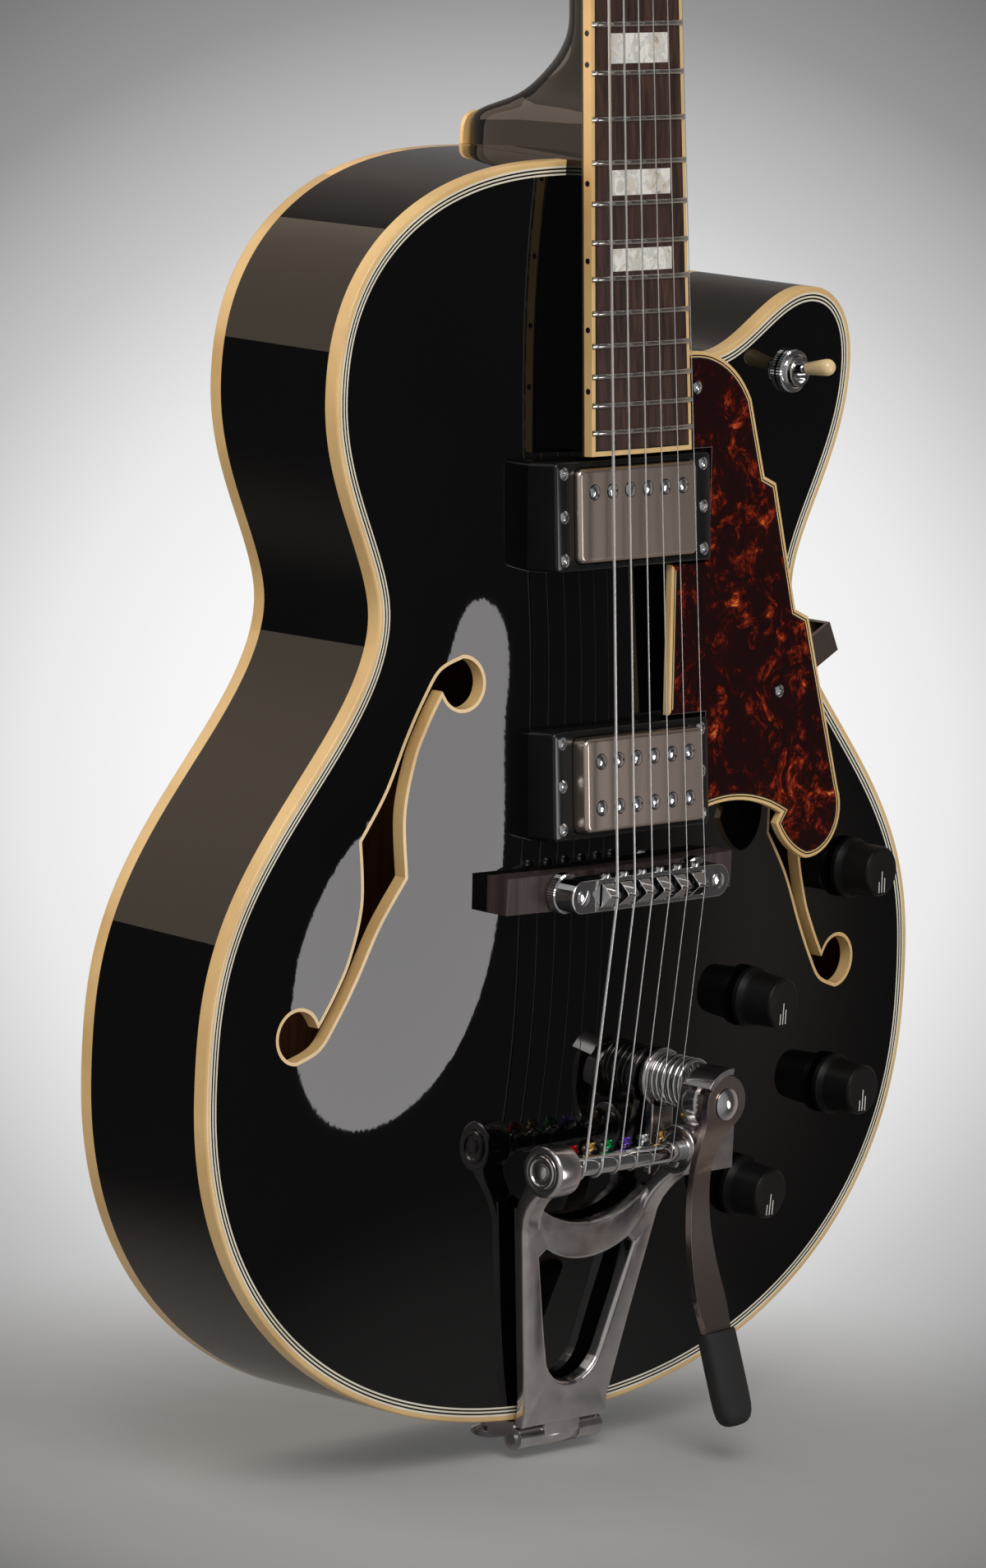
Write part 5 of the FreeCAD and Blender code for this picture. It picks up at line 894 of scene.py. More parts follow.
def arch(x, z, peak):
    """Height of an arched plate over its edge: a cosine bell across and along the body."""
    if not 0 < z < BODY_LENGTH:
        return 0
    across = abs(x) / half_width(z)
    if across >= 1:
        return 0
    skew = math.log(0.5) / math.log(ARCH_PEAK / BODY_LENGTH)
    along = 0.5 - 0.5 * math.cos(2 * math.pi * (z / BODY_LENGTH) ** skew)
    scoop_radius = SCOOP_TOP - SCOOP_STATION
    away = math.hypot(x - SCOOP_OFFSET, z - SCOOP_TOP)
    fade = smooth_step((away - scoop_radius - LINING_WIDTH) / (2 * scoop_radius))
    return peak * along * (0.5 + 0.5 * math.cos(math.pi * across)) * fade


def front_surface(x, z, lift=0.0):
    return (x, front(arch(x, z, FRONT_ARCH) + lift), z)


def back_surface(x, z, lift=0.0):
    return (x, EDGE + arch(x, z, BACK_ARCH) + lift, z)


def front_normal(x, z):
    slope_x = (arch(x + 1, z, FRONT_ARCH) - arch(x - 1, z, FRONT_ARCH)) / 2
    slope_z = (arch(x, z + 1, FRONT_ARCH) - arch(x, z - 1, FRONT_ARCH)) / 2
    return Vector((-slope_x, -1, -slope_z)).normalized()


def plate_mesh(border, holes, surface, thickness):
    """A closed plate between a surface and its copy moved inwards, and its count of outer faces."""
    flat, edges = [], []
    for loop in [border] + holes:
        start = len(flat)
        flat += loop
        edges += [(start + i, start + (i + 1) % len(loop)) for i in range(len(loop))]
    columns = int(LOWER_HALF // PLATE_GRID) + 1
    rows = int(BODY_LENGTH // PLATE_GRID) + 1
    field, gaps = inset(border, PLATE_GRID / 2), [inset(hole, -PLATE_GRID / 2) for hole in holes]
    for i in range(-columns, columns + 1):
        for j in range(rows + 1):
            spot = (i * PLATE_GRID, j * PLATE_GRID)
            if inside(spot, field) and not any(inside(spot, gap) for gap in gaps):
                flat.append(spot)
    result = geometry.delaunay_2d_cdt([Vector(point) for point in flat], edges, [], 0, 1e-4)
    spots = [tuple(point) for point in result[0]]
    sheet = []
    for face in result[2]:
        middle = tuple(sum(spots[i][axis] for i in face) / len(face) for axis in (0, 1))
        if inside(middle, border) and not any(inside(middle, hole) for hole in holes):
            sheet.append(tuple(face))
    count = len(spots)
    points = [surface(x, z, lift) for lift in (0.0, -thickness) for x, z in spots]
    faces = sheet + [tuple(count + i for i in reversed(face)) for face in sheet]
    borders = {pair: None for face in sheet for pair in zip(face, face[1:] + face[:1])}
    faces += [(b, a, count + a, count + b) for a, b in borders if (b, a) not in borders]
    return (points, faces), len(sheet)


def build_plates():
    """The arched front and back, with bare wood on their inner faces."""
    border = inset(OUTLINE, BINDING)
    for name, node, holes, surface in (
            ("front_plate", "top_plate", [f_hole(-1), f_hole(1)], front_surface),
            ("rear_plate", "back_plate", [], back_surface)):
        shape, shown = plate_mesh(border, holes, surface, PLATE)
        plate = piece(name, shape, "lacquered_wood", nodes=[node])
        second_finish(plate, "inside_wood", range(shown, len(shape[1])))


def build_sides():
    low, high = BINDING_HEIGHT - EDGE, EDGE - BINDING_HEIGHT
    shape = ring(OUTLINE, ((0, low), (0, high), (RIM_WALL, high), (RIM_WALL, low)))
    sides = piece("sides", shape, "lacquered_wood", nodes=["rim"])
    count = len(OUTLINE)
    second_finish(sides, "inside_wood", range(2 * count, 3 * count))


def build_bindings():
    wide = BINDING + BINDING_LAP
    for name, edge, inwards in (("front_binding", -EDGE, 1), ("back_binding", EDGE, -1)):
        deep = edge + inwards * BINDING_HEIGHT
        corner = [(distance, edge + inwards * drop)
                  for distance, drop in quarter_round(BINDING_ROUND, 4)]
        shape = ring(OUTLINE, [(0, deep), *corner, (wide, edge), (wide, deep)])
        piece(name, shape, "cream_binding", nodes=["body_bindings"])
    for side, name in ((-1, "bass_f_hole_binding"), (1, "treble_f_hole_binding")):
        outer = f_hole(side)
        shape = inlay(front_surface, outer, inset(outer, F_BINDING), F_BINDING_RISE,
                      -PLATE - F_BINDING_DROP)
        piece(name, shape, "cream_binding", nodes=["body_bindings"])


def build_purfling():
    """White lines of the purfling beside the bindings, on the front and the back."""
    for surface, name in ((front_surface, "front_purfling"), (back_surface, "back_purfling")):
        lines = []
        for near, far in PURFLING:
            outer, inner = inset(OUTLINE, BINDING + near), inset(OUTLINE, BINDING + far)
            lines.append(inlay(surface, outer, inner, PURFLING_RISE, -PURFLING_DEPTH))
        piece(name, merged(lines), "bone")


# Neck


def fret_z(number):
    return COMPENSATION + SCALE_LENGTH * 2 ** (-number / 12)


def board_end():
    return fret_z(FRET_COUNT) - BOARD_OVERHANG


def board_width(z):
    run = (z - board_end()) / (fret_z(0) - board_end())
    return BOARD_END_WIDTH + (NUT_WIDTH - BOARD_END_WIDTH) * run


def crown_drop(x):
    """How far the board's crown falls away from its middle."""
    return CROWN - math.sqrt(CROWN * CROWN - x * x)


def board_underside(z):
    """Half the board's width and the Y of its underside, at a height of the body."""
    angle = math.radians(NECK_ANGLE)
    half = board_width((z - BRIDGE_STATION) / math.cos(angle)) / 2
    return half, front(BOARD_HEIGHT) + (z - BRIDGE_STATION) * math.tan(angle) + BOARD_THICKNESS


def neck_section(z, belly):
    """One level of the neck from the board's underside round its back."""
    wide, under = board_underside(z)
    deep = belly - under
    heft = smooth_step((deep - HEFT_START) / HEFT_RUN)
    loop = []
    for out, down in squared(half_circle(36), 2 / (NECK_FULLNESS + HEEL_FULLNESS * heft)):
        half = wide + (HEEL_HALF - wide) * down * heft
        loop.append((half * out, under + deep * down, z))
    return loop


def build_neck():
    nut_end = (NECK @ Vector((0, 0, fret_z(0) + NUT_LENGTH))).z
    stations = []
    z = BODY_LENGTH + JOINT_GAP
    while z < nut_end:
        stations.append(z)
        z += HEEL_STEP if z < BODY_LENGTH + HEEL_RUN else SHAFT_STEP
    bellies = []
    for z in stations + [nut_end]:
        run = (z - BODY_LENGTH) / (nut_end - BODY_LENGTH)
        shaft = board_underside(z)[1] + NECK_DEPTH + JOINT_EXTRA * (1 - run)
        bellies.append((z, max(shaft, between(HEEL, z - BODY_LENGTH))))
    loops = [neck_section(z, belly) for z, belly in smoothed(bellies, NECK_PASSES)]
    piece("neck_shaft", skin(loops, caps=True), "lacquered_wood", nodes=["neck"], crease=60)


def build_headstock():
    corner_x, corner_z = HEAD_CORNER
    right = through(HEAD_SIDE) + [HEAD_SIDE[-1], HEAD_CORNER]
    right += [(corner_x * t, corner_z + HEAD_CROWN * (1 - t * t)) for t in spaced(8, 1, 0)[1:-1]]
    outline = right + [(0.0, corner_z + HEAD_CROWN)] + [(-x, z) for x, z in reversed(right)]
    shape = moved(slab(outline, HEAD_BACK, HEAD_FACING), head_place())
    bevelled(piece("headstock", shape, "lacquered_wood", nodes=["neck"]), 1.2)


def build_extension():
    """The neck's tongue under the board, down to the arched front."""
    low = (NECK @ Vector((0, BOARD_THICKNESS, board_end() + EXTENSION_START))).z
    loops = []
    for z in spaced(24, low, BODY_LENGTH - EXTENSION_SHY):
        half, under = board_underside(z)
        half -= EXTENSION_INSET
        foot = [front_surface(x, z, SURFACE_GAP) for x in spaced(8, -half, half)]
        loops.append([(half, under, z), (-half, under, z), *foot])
    piece("neck_tongue", skin(loops, caps=True), "lacquered_wood", nodes=["neck"])


def build_heel_cap():
    cap = [(HEEL_HALF * out, BODY_LENGTH + JOINT_GAP + HEEL_CAP_LENGTH * along)
           for out, along in squared(half_circle(24), HEEL_CAP_POWER)]
    shape = slab(cap, EDGE, EDGE - HEEL_CAP)
    bevelled(piece("heel_cap_rounded", shape, "cream_binding", nodes=["heel_cap"]), 0.5)


def build_frets():
    """Half-round wires that follow the board's crown, with eased ends."""
    wires = []
    for number in range(1, FRET_COUNT + 1):
        z = fret_z(number)
        half = board_width(z) / 2 - FRET_SHY
        loops = []
        for i, x in enumerate(spaced(14, -half, half)):
            drop = crown_drop(x)
            height = FRET_HEIGHT * (1.0 if 0 < i < 14 else FRET_END)
            loop = [(x, drop - height * s, z + FRET_WIDTH / 2 * c) for c, s in half_circle(8)]
            loop += [(x, drop + FRET_FOOT, z + side * FRET_WIDTH / 2) for side in (-1, 1)]
            loops.append(loop)
        wires.append(skin(loops, caps=True))
    piece("fret_wires", moved(merged(wires), NECK), "fret_wire", nodes=["frets"], crease=50)


def build_board_lines():
    """Dark lines beside the board's binding, on its face and along its foot."""
    low, high = board_end(), fret_z(0)
    lines = []

    def corners(a, b, top, bottom, z):
        return [(a, top, z), (b, top, z), (b, bottom, z), (a, bottom, z)]

    for side in (-1, 1):
        face, foot = [], []
        for z in (low + BOARD_BINDING, high):
            outer = board_width(z) / 2 - BOARD_BINDING
            top = crown_drop(outer) - LINE_PROUD
            face.append(corners(side * outer, side * (outer - BOARD_LINE), top, top + LINE_DEPTH, z))
        for z in (low, high):
            edge = board_width(z) / 2
            foot.append(corners(side * (edge + LINE_PROUD), side * (edge - LINE_DEPTH), *FOOT_LINE, z))
        lines += [skin(face, caps=True), skin(foot, caps=True)]
    half = board_width(low) / 2 - BOARD_BINDING
    near, far = low + BOARD_BINDING, low + BOARD_BINDING + BOARD_LINE
    across = []
    for x in spaced(12, -half, half):
        top = crown_drop(x) - LINE_PROUD
        bottom = top + LINE_DEPTH
        across.append([(x, top, near), (x, top, far), (x, bottom, far), (x, bottom, near)])
    lines.append(skin(across, caps=True))
    piece("board_lines", moved(merged(lines), NECK), "black_line")


def build_side_dots():
    places = [(fret_z(number) + fret_z(number - 1)) / 2 for number in (*SIDE_DOTS, OCTAVE)]
    octave = places.pop()
    dots = []
    for z in places + [octave - OCTAVE_SPREAD, octave + OCTAVE_SPREAD]:
        edge = Vector((-board_width(z) / 2 - LINE_PROUD, BOARD_THICKNESS * DOT_LEVEL, z))
        dots.append(turned(pin(DOT_RADIUS, -LINE_DEPTH, 0.0), 20, NECK @ edge, (-1, 0, 0)))
    piece("side_dots", merged(dots), "black_line")


# Pickups, bridge and guard


def string_x(index, pitch):
    return (index - (STRING_COUNT - 1) / 2) * pitch


def pickup_ring(place):
    """A bevelled frame round a cover, whose foot follows the arched front."""
    outer = rounded_box(RING_WIDTH, RING_LENGTH, RING_CORNER)
    inner = rounded_box(COVER_WIDTH + RING_PLAY, COVER_LENGTH + RING_PLAY, RING_WINDOW)
    depths = []
    for x, z in outer:
        top = place @ Vector((x, 0, z))
        foot = Vector(front_surface(top.x, top.z, SURFACE_GAP))
        depths.append((place.inverted() @ foot).y)
    outer_foot, inner_foot = ([(x, y, z) for (x, z), y in zip(loop, depths)]
                              for loop in (outer, inner))
    loops = [outer_foot, *levels(outer, RING_OUTER), *levels(inner, RING_INNER), inner_foot]
    return moved(skin(loops, closed_along=True), place)


def build_pickups():
    rings, covers, poles, wells = [], [], [], []
    for station, height, rise, rows in PICKUPS:
        place = tilted((0, front(height), station), NECK_ANGLE)
        rings.append(pickup_ring(place))
        cover = rounded_box(COVER_WIDTH, COVER_LENGTH, COVER_CORNER)
        covers.append(moved(slab(cover, -rise, COVER_DEPTH - rise, COVER_ROUND, 6), place))
        for row in rows:
            for index in range(STRING_COUNT):
                seat = facing(place, (string_x(index, POLE_PITCH), -rise, row * POLE_ROW / 2))
                turn = spun(POLE_TURN + POLE_TURN_STEP * index + POLE_TURN_ROW * row)
                poles.append(moved(screw_head(POLE_RADIUS, POLE_RISE, cross=False), seat @ turn))
                wells.append(moved(lathe(POLE_WELL, 28, hollow=True), seat))
        for side in (-1, 1):
            for row in (-1, 0, 1):
                SCREWS.append(facing(place, (side * (RING_WIDTH / 2 - RING_SCREW_INSET), 0,
                                             row * (RING_LENGTH / 2 - RING_SCREW_INSET))))
    piece("rings", merged(rings), "black_plastic", nodes=["pickup_rings"])
    piece("covers", merged(covers), "satin_nickel", nodes=["pickup_covers"], crease=50)
    piece("pole_wells", merged(wells), "black_line")
    piece("poles", merged(poles), "chrome", nodes=["pickup_poles"], crease=30)


def build_bridge():
    seat = NECK @ Vector((0, -STRING_LIFT, 0))
    z = seat.z
    top = -EDGE - seat.y - SADDLE_RISE
    base_top = FRONT_ARCH + BRIDGE_BASE_HEIGHT
    rise = top - BRIDGE_BODY_HEIGHT - base_top
    shy = WHEEL_RADIUS - WHEEL_EASE
    wheel = [(POST_RADIUS, WHEEL_GAP), (shy, WHEEL_GAP), (WHEEL_RADIUS, WHEEL_EASE),
             (WHEEL_RADIUS, rise - WHEEL_EASE), (shy, rise - WHEEL_GAP),
             (POST_RADIUS, rise - WHEEL_GAP)]
    post = pin(POST_RADIUS, -POST_SINK, rise + POST_RISE)
    wheels, screws = [], []
    for side in (-1, 1):
        foot = (side * BRIDGE_POSTS / 2, front(base_top), z)
        wheels.append(turned(wheel, 96, foot, (0, -1, 0), WHEEL_TEETH))
        wheels.append(turned(post, 24, foot, (0, -1, 0)))
        end = (side * (BRIDGE_BODY_WIDTH - BRIDGE_BODY_LENGTH) / 2, front(top), z)
        head = screw_head(END_SCREW, END_SCREW_RISE, cross=False)
        screws.append(moved(head, facing(Matrix(), end) @ spun(END_SCREW_TURN * side)))
    shank = pin(SADDLE_SCREW, 0, BRIDGE_BODY_LENGTH)
    back, neck_side = z - BRIDGE_BODY_LENGTH / 2 + SADDLE_SCREW_SHY, z + BRIDGE_BODY_LENGTH / 2
    for index in range(STRING_COUNT):
        x, y = string_x(index, STRING_PITCH), front(top - SADDLE_SCREW_DROP)
        screws.append(turned(shank, 14, (x, y, back), (0, 0, 1)))
        screws.append(turned(SADDLE_SCREW_HEAD, 22, (x, y, neck_side), (0, 0, 1)))
    piece("thumbwheels", merged(wheels), "chrome", nodes=["bridge_posts"])
    piece("bridge_screws", merged(screws), "chrome", crease=30)
    softened("bridge_body", "chrome", 0.7)
    softened("bridge_base", "ebony", 0.7)
    softened("bridge_saddles", "chrome", 0.3)


def guard_station():
    return (PICKUPS[0][0] + PICKUPS[1][0]) / 2


def guard_place():
    return tilted((0, front(GUARD_HEIGHT), guard_station()), GUARD_TILT)


def guard_outline():
    """The guard's edge, with the places where its bound runs start and end, and its screw."""
    base = guard_station()
    reach = RING_LENGTH / 2 + GUARD_CLEAR
    neck_low, neck_high = (PICKUPS[0][0] + side * reach - base for side in (-1, 1))
    bridge_high = PICKUPS[1][0] + reach - base
    lobe_low = PICKUPS[1][0] - RING_LENGTH / 2 + GUARD_LOW - base
    ring_x, inner_x = RING_WIDTH / 2 + GUARD_CLEAR, RING_WIDTH / 4 + GUARD_SLIT
    board_x = BOARD_END_WIDTH / 2 + GUARD_CLEAR
    high = neck_high + GUARD_RISE

    def spots(*line):
        return [(board_x + out, high - drop) for out, drop in line]

    loop = arc(*spots(*GUARD_CROWN)) + spots(GUARD_CROWN[-1], *GUARD_STEPS)
    loop += arc(*spots(*GUARD_LOBE)) + arc(*spots(*GUARD_WAIST)) + spots(GUARD_WAIST[-1])
    sag = (board_x + GUARD_SAG[0], lobe_low + GUARD_SAG[1])
    loop += arc(*spots(GUARD_NECK), sag, (ring_x, lobe_low)) + [(ring_x, lobe_low)]
    outer_end = len(loop) - 1
    loop += [(ring_x, bridge_high), (inner_x, bridge_high), (inner_x, neck_low),
             (ring_x, neck_low), (ring_x, neck_high), (board_x, neck_high)]
    runs = ((0, outer_end), (outer_end + 2, outer_end + 3))
    return loop, runs, spots(GUARD_SCREW)[0]


def build_guard():
    place = guard_place()
    loop, runs, screw = guard_outline()
    shape = slab(loop, 0.0, GUARD_THICKNESS, GUARD_ROUND)
    guard = piece("guard", moved(shape, place), "tortoise", nodes=["pickguard"])
    bound = {step for first, last in runs for step in range(first, last)}
    sides = range(len(shape[1]) - 2)
    second_finish(guard, "cream_binding", [i for i in sides if i % len(loop) in bound])
    for name, (finish, plies) in GUARD_PLIES.items():
        strips = []
        for near, far in plies:
            rows = levels(loop, ((near, -PLY_RISE), (far, -PLY_RISE), (far, PLY_DEPTH),
                                 (near, PLY_DEPTH)))
            for first, last in runs:
                strips.append(skin(list(zip(*(row[first:last + 1] for row in rows))), caps=True))
        piece(name, moved(merged(strips), place), finish)
    for x, z in (screw, (BRACKET_PAD[0], BRACKET_PAD[1] - guard_station())):
        SCREWS.append(facing(place, (x, 0, z)))


# Controls


def build_knobs():
    for number, (x, z) in enumerate(KNOBS, 1):
        normal = front_normal(x, z)
        across = (Vector((1, 0, 0)) - normal * normal.x).normalized()
        turn = Matrix((across, normal.cross(across), normal)).transposed()
        place = Matrix.Translation(front_surface(x, z)) @ turn.to_4x4()
        body = f"knob_{number}"
        cap = moved(lathe(KNOB_PROFILE, 64), place)
        piece(f"knob_cap_{number}", cap, "knob_plastic", body, [body])
        down = -1 if (turn @ Vector((0, 1, 0))).z > 0 else 1
        marks = []
        for aside, length in KNOB_MARKS:
            end = MARK_START - length
            spots = [(aside + MARK_HALF * side, down * along) for along, side in
                     ((MARK_START, -1), (MARK_START, 1), (end, 1), (end, -1))]
            loops = [[(*spot, height) for spot in spots] for height in MARK_LEVELS]
            marks.append(skin(loops, caps=True))
        piece(f"knob_marks_{number}", moved(merged(marks), place), "white_line", body)


def build_switch():
    x, z = SWITCH_SPOT
    surface = arch(x, z, FRONT_ARCH)
    shapes = [lathe(SWITCH_KNURL, 96, SWITCH_TEETH), lathe(SWITCH_COLLAR, 48),
              lathe(SWITCH_UNDER, 32)]
    place = aimed((x, front(surface), z), (0, -1, 0))
    piece("switch_nut", moved(merged(shapes), place), "chrome", nodes=["toggle_switch"])
    tilt = math.radians(LEVER_TILT)
    pivot = aimed((x, front(surface - LEVER_SINK), z), (0, -math.cos(tilt), math.sin(tilt)))
    for name, profile, sides, finish in (("switch_stem", LEVER_STEM, 32, "chrome"),
                                         ("switch_tip", LEVER_TIP, 36, "cream_plastic")):
        piece(name, moved(lathe(profile, sides), pivot), finish, "switch_lever", ["switch_lever"])


# Vibrato tailpiece


def bar_point(x, radius, degrees):
    angle = math.radians(degrees)
    return Vector((x, front(BAR_HEIGHT + radius * math.sin(angle)),
                   BAR_STATION + radius * math.cos(angle)))


def spring_seat():
    x, z = SPRING_SPOT
    return arch(x, z, FRONT_ARCH) + SEAT_LIFT + SEAT_THICKNESS


def frame_plate():
    """The frame's sloping plate with its shield opening, the edges of its front face rounded."""
    foot, top, high = FRAME_FOOT / 2, FRAME_TOP / 2, FRAME_HIGH
    corner = top - FRAME_CORNER
    outer = arc((corner, high), (0, high - FRAME_SAG), (-corner, high)) + [
        (-corner, high), (-top, high - FRAME_CUT), (-foot, FRAME_FLARE), (-foot, FRAME_LOW),
        (foot, FRAME_LOW), (foot, FRAME_FLARE), (top, high - FRAME_CUT)]
    wide, narrow, brow = SHIELD_WIDTH / 2, SHIELD_FOOT / 2, SHIELD_HIGH - SHIELD_CUT
    corner, bowl = wide - SHIELD_CORNER, SHIELD_LOW + SHIELD_BOWL
    inner = arc((corner, SHIELD_HIGH), (0, SHIELD_HIGH - SHIELD_DISH), (-corner, SHIELD_HIGH))
    inner += [(-corner, SHIELD_HIGH), (-wide, brow)]
    inner += arc((-narrow, bowl), (0, SHIELD_LOW), (narrow, bowl)) + [(narrow, bowl), (wide, brow)]
    centre = Vector((0, (SHIELD_LOW + SHIELD_HIGH) / 2))
    angles = spaced(FRAME_SIDES, 0, 2 * math.pi)[:-1]
    angles += [math.atan2(z - centre.y, x) % (2 * math.pi) for x, z in outer + inner]
    spokes = []
    for angle in sorted(angles):
        way = Vector((math.cos(angle), math.sin(angle)))
        spokes.append((way, edge_distance(outer, centre, way), edge_distance(inner, centre, way)))
    section = [(0.0, FRAME_THICKNESS)] + quarter_round(FRAME_ROUND, 5)
    loops = []
    for distance, y in section:
        spots = [centre + way * (far - distance) for way, far, _ in spokes]
        loops.append([(spot.x, y, spot.y) for spot in spots])
    for distance, y in reversed(section):
        spots = [centre + way * (near + distance) for way, _, near in spokes]
        loops.append([(spot.x, y, spot.y) for spot in spots])
    place = tilted((0, front(FRAME_FOOT_HEIGHT), 0), -FRAME_SLOPE)
    return moved(skin(loops, closed_along=True), place)


def frame_shoulder(side):
    """The neck that swells from a corner of the plate into a boss."""
    loops = []
    for z, inner, outer, back, face in FRAME_SHOULDER:
        middle, half = (inner + outer) / 2, (outer - inner) / 2
        level, thick = (back + face) / 2, (face - back) / 2
        loops.append([(side * (middle + half * c), front(level + thick * s), z)
                      for c, s in squared(circle(36), SHOULDER_POWER)])
    return skin(loops, caps=True)


def build_frame():
    shapes = [frame_plate()]
    wall = [(BOSS_BORE, BORE_INSET), (BOSS_BORE, BOSS_WIDTH - BORE_INSET),
            (BOSS_BORE + BORE_EASE, BOSS_WIDTH)]
    wall += [(BOSS_RADIUS - shy, BOSS_WIDTH - drop) for shy, drop in BOSS_ROUND]
    wall += [(BOSS_RADIUS - shy, drop) for shy, drop in reversed(BOSS_ROUND)]
    wall.append((BOSS_BORE + BORE_EASE, 0.0))
    for side in (-1, 1):
        spot = (side * BOSS_INNER, front(BAR_HEIGHT), BAR_STATION)
        shapes += [turned(wall, 64, spot, (side, 0, 0), hollow=True), frame_shoulder(side)]
    level, base = front(spring_seat()), front(spring_seat() - SEAT_THICKNESS)
    x, z = SPRING_SPOT
    seat = drum(SEAT_RADIUS, SEAT_THICKNESS, SEAT_EASE)
    shapes.append(turned(seat, 48, (x, base, z), (0, -1, 0)))
    shelf_low = BAR_STATION - SHELF_LAP
    shelf = rounded_box(BOSS_WIDTH, z - shelf_low, SHELF_CORNER,
                        (BOSS_INNER + BOSS_WIDTH / 2, (z + shelf_low) / 2))
    shapes.append(slab(shelf, level, base, SEAT_EASE))
    curl = HINGE_HEIGHT + KNUCKLE
    tongue = rounded_box(TONGUE_WIDTH, TONGUE_END - HINGE_STATION, TONGUE_CORNER,
                         (0, (TONGUE_END + HINGE_STATION) / 2))
    shapes.append(slab(tongue, front(curl), front(curl - TONGUE_DEPTH), TONGUE_ROUND))
    roll = drum(KNUCKLE, TONGUE_WIDTH, KNUCKLE_EASE)
    shapes.append(turned(roll, 40, (-TONGUE_WIDTH / 2, front(HINGE_HEIGHT), HINGE_STATION),
                         (1, 0, 0)))
    piece("vibrato_casting", merged(shapes), "polished_aluminium", nodes=["vibrato_frame"],
          crease=50)


def build_grip():
    """Soft sleeve over the arm's end, open where the arm goes in."""
    loops = []
    for along, size in GRIP_PROFILE:
        loops.append([(size * GRIP_WIDTH / 2 * c, size * GRIP_THICKNESS / 2 * s, -along)
                      for c, s in squared(circle(40), GRIP_POWER)])
    shape = moved(skin(loops, caps=True), arm_place() @ tilted(GRIP_SPOT, GRIP_SLOPE))
    piece("grip_sleeve", shape, "soft_grip", "arm", ["arm_grip"], 50)


def arm_narrowed(spot):
    """The arm draws in where it enters its sleeve."""
    place = arm_place()
    local = place.inverted() @ spot
    share = ARM_NECK_SHARE * smooth_step((-local.z - ARM_NECK_START) / ARM_NECK_RUN)
    middle = GRIP_SPOT[0]
    local.x = middle + (local.x - middle) * (1 - share)
    return place @ local


def build_balls():
    for index, finish in enumerate(BALL_FINISHES):
        x = string_x(index, STRING_PITCH)
        inner, outer = (bar_point(x, BAR_RADIUS + reach, BALL_ANGLE) for reach in BALL_REACH)
        piece(f"ball_end_{index + 1}", turned(BALL_PROFILE, 24, inner, outer - inner), finish,
              "vibrato")


def build_spring():
    x, z = SPRING_SPOT
    level = spring_seat()
    low, high = level + SPRING_WIRE, level + SPRING_LENGTH - SPRING_WIRE
    path = []
    for i in range(SPRING_TURNS * SPRING_STEPS + 1):
        turn = i / SPRING_STEPS
        run = turn / SPRING_TURNS
        run = smooth_step(run) * SPRING_EASE + (1 - SPRING_EASE) * run
        angle = 2 * math.pi * turn
        path.append((x + SPRING_RADIUS * math.cos(angle), front(low + (high - low) * run),
                     z + SPRING_RADIUS * math.sin(angle)))
    shape = tube(path, SPRING_WIRE, 12)
    coil = piece("coil_spring", shape, "spring_steel", None, ["vibrato_spring"])
    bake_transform(coil)


def build_tails():
    """String tails copied from their CAD node, which they stand for."""
    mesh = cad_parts["string_tails"].data.copy()
    tails = dress("tails", mesh, "string_steel", None, ["string_tails"])
    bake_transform(tails)


def build_bearing_cap():
    """Ring and pin in the free end of the bar's boss."""
    spot = (-BOSS_INNER - BOSS_WIDTH, front(BAR_HEIGHT), BAR_STATION)
    piece("bearing_cap", turned(BEARING_CAP, 48, spot, (-1, 0, 0)), "polished_aluminium")


def build_vibrato():
    build_frame()
    build_grip()
    softened("tail_hinge_plate", "polished_aluminium", 0.5)
    softened("arm_bracket", "polished_aluminium", 0.7, "vibrato")
    softened("vibrato_arm", "brushed_arm", 0.5, "arm", arm_narrowed)
    build_balls()
    build_spring()
    build_tails()
    build_bearing_cap()
    for side in (-1, 1):
        for along in TAIL_SCREWS:
            spot = (side * TAIL_PLATE_WIDTH * TAIL_SCREW_ASIDE,
                    front(HINGE_HEIGHT) + along * TAIL_PLATE_LENGTH, -TAIL_PLATE)
            SCREWS.append(aimed(spot, (0, 0, -1)))


# Screws, tuning machines and small fittings


def bracket_screw():
    """Place of the screw that holds the guard's bracket to the side."""
    z = guard_station() - BRACKET_WIDTH / 2
    slope = half_width(z + 0.5) - half_width(z - 0.5)
    out = Vector((1, 0, -slope)).normalized()
    spot = Vector((half_width(z), 0, z))
    reach = (spot.x - BRACKET_PAD[0]) / out.x + BRACKET_WIDTH / 2
    inner = Vector((0, GUARD_THICKNESS, (spot - out * reach).z - guard_station()))
    level = (guard_place() @ inner).y + BRACKET_STRIP + BRACKET_SCREW_DROP
    spot += out * (BRACKET_LIP + BRACKET_STRIP)
    return aimed((spot.x, level * BRACKET_SCREW_SHARE, spot.z), out)


def build_screws():
    """Cross-headed screws of the rings, the guard and its bracket, and the tail plate."""
    heads = []
    for number, place in enumerate(SCREWS + [bracket_screw()]):
        heads.append(moved(screw_head(SCREW_RADIUS, SCREW_RISE), place @ spun(SCREW_TURN * number)))
    piece("screw_heads", merged(heads), "chrome", nodes=["mounting_screws"], crease=30)


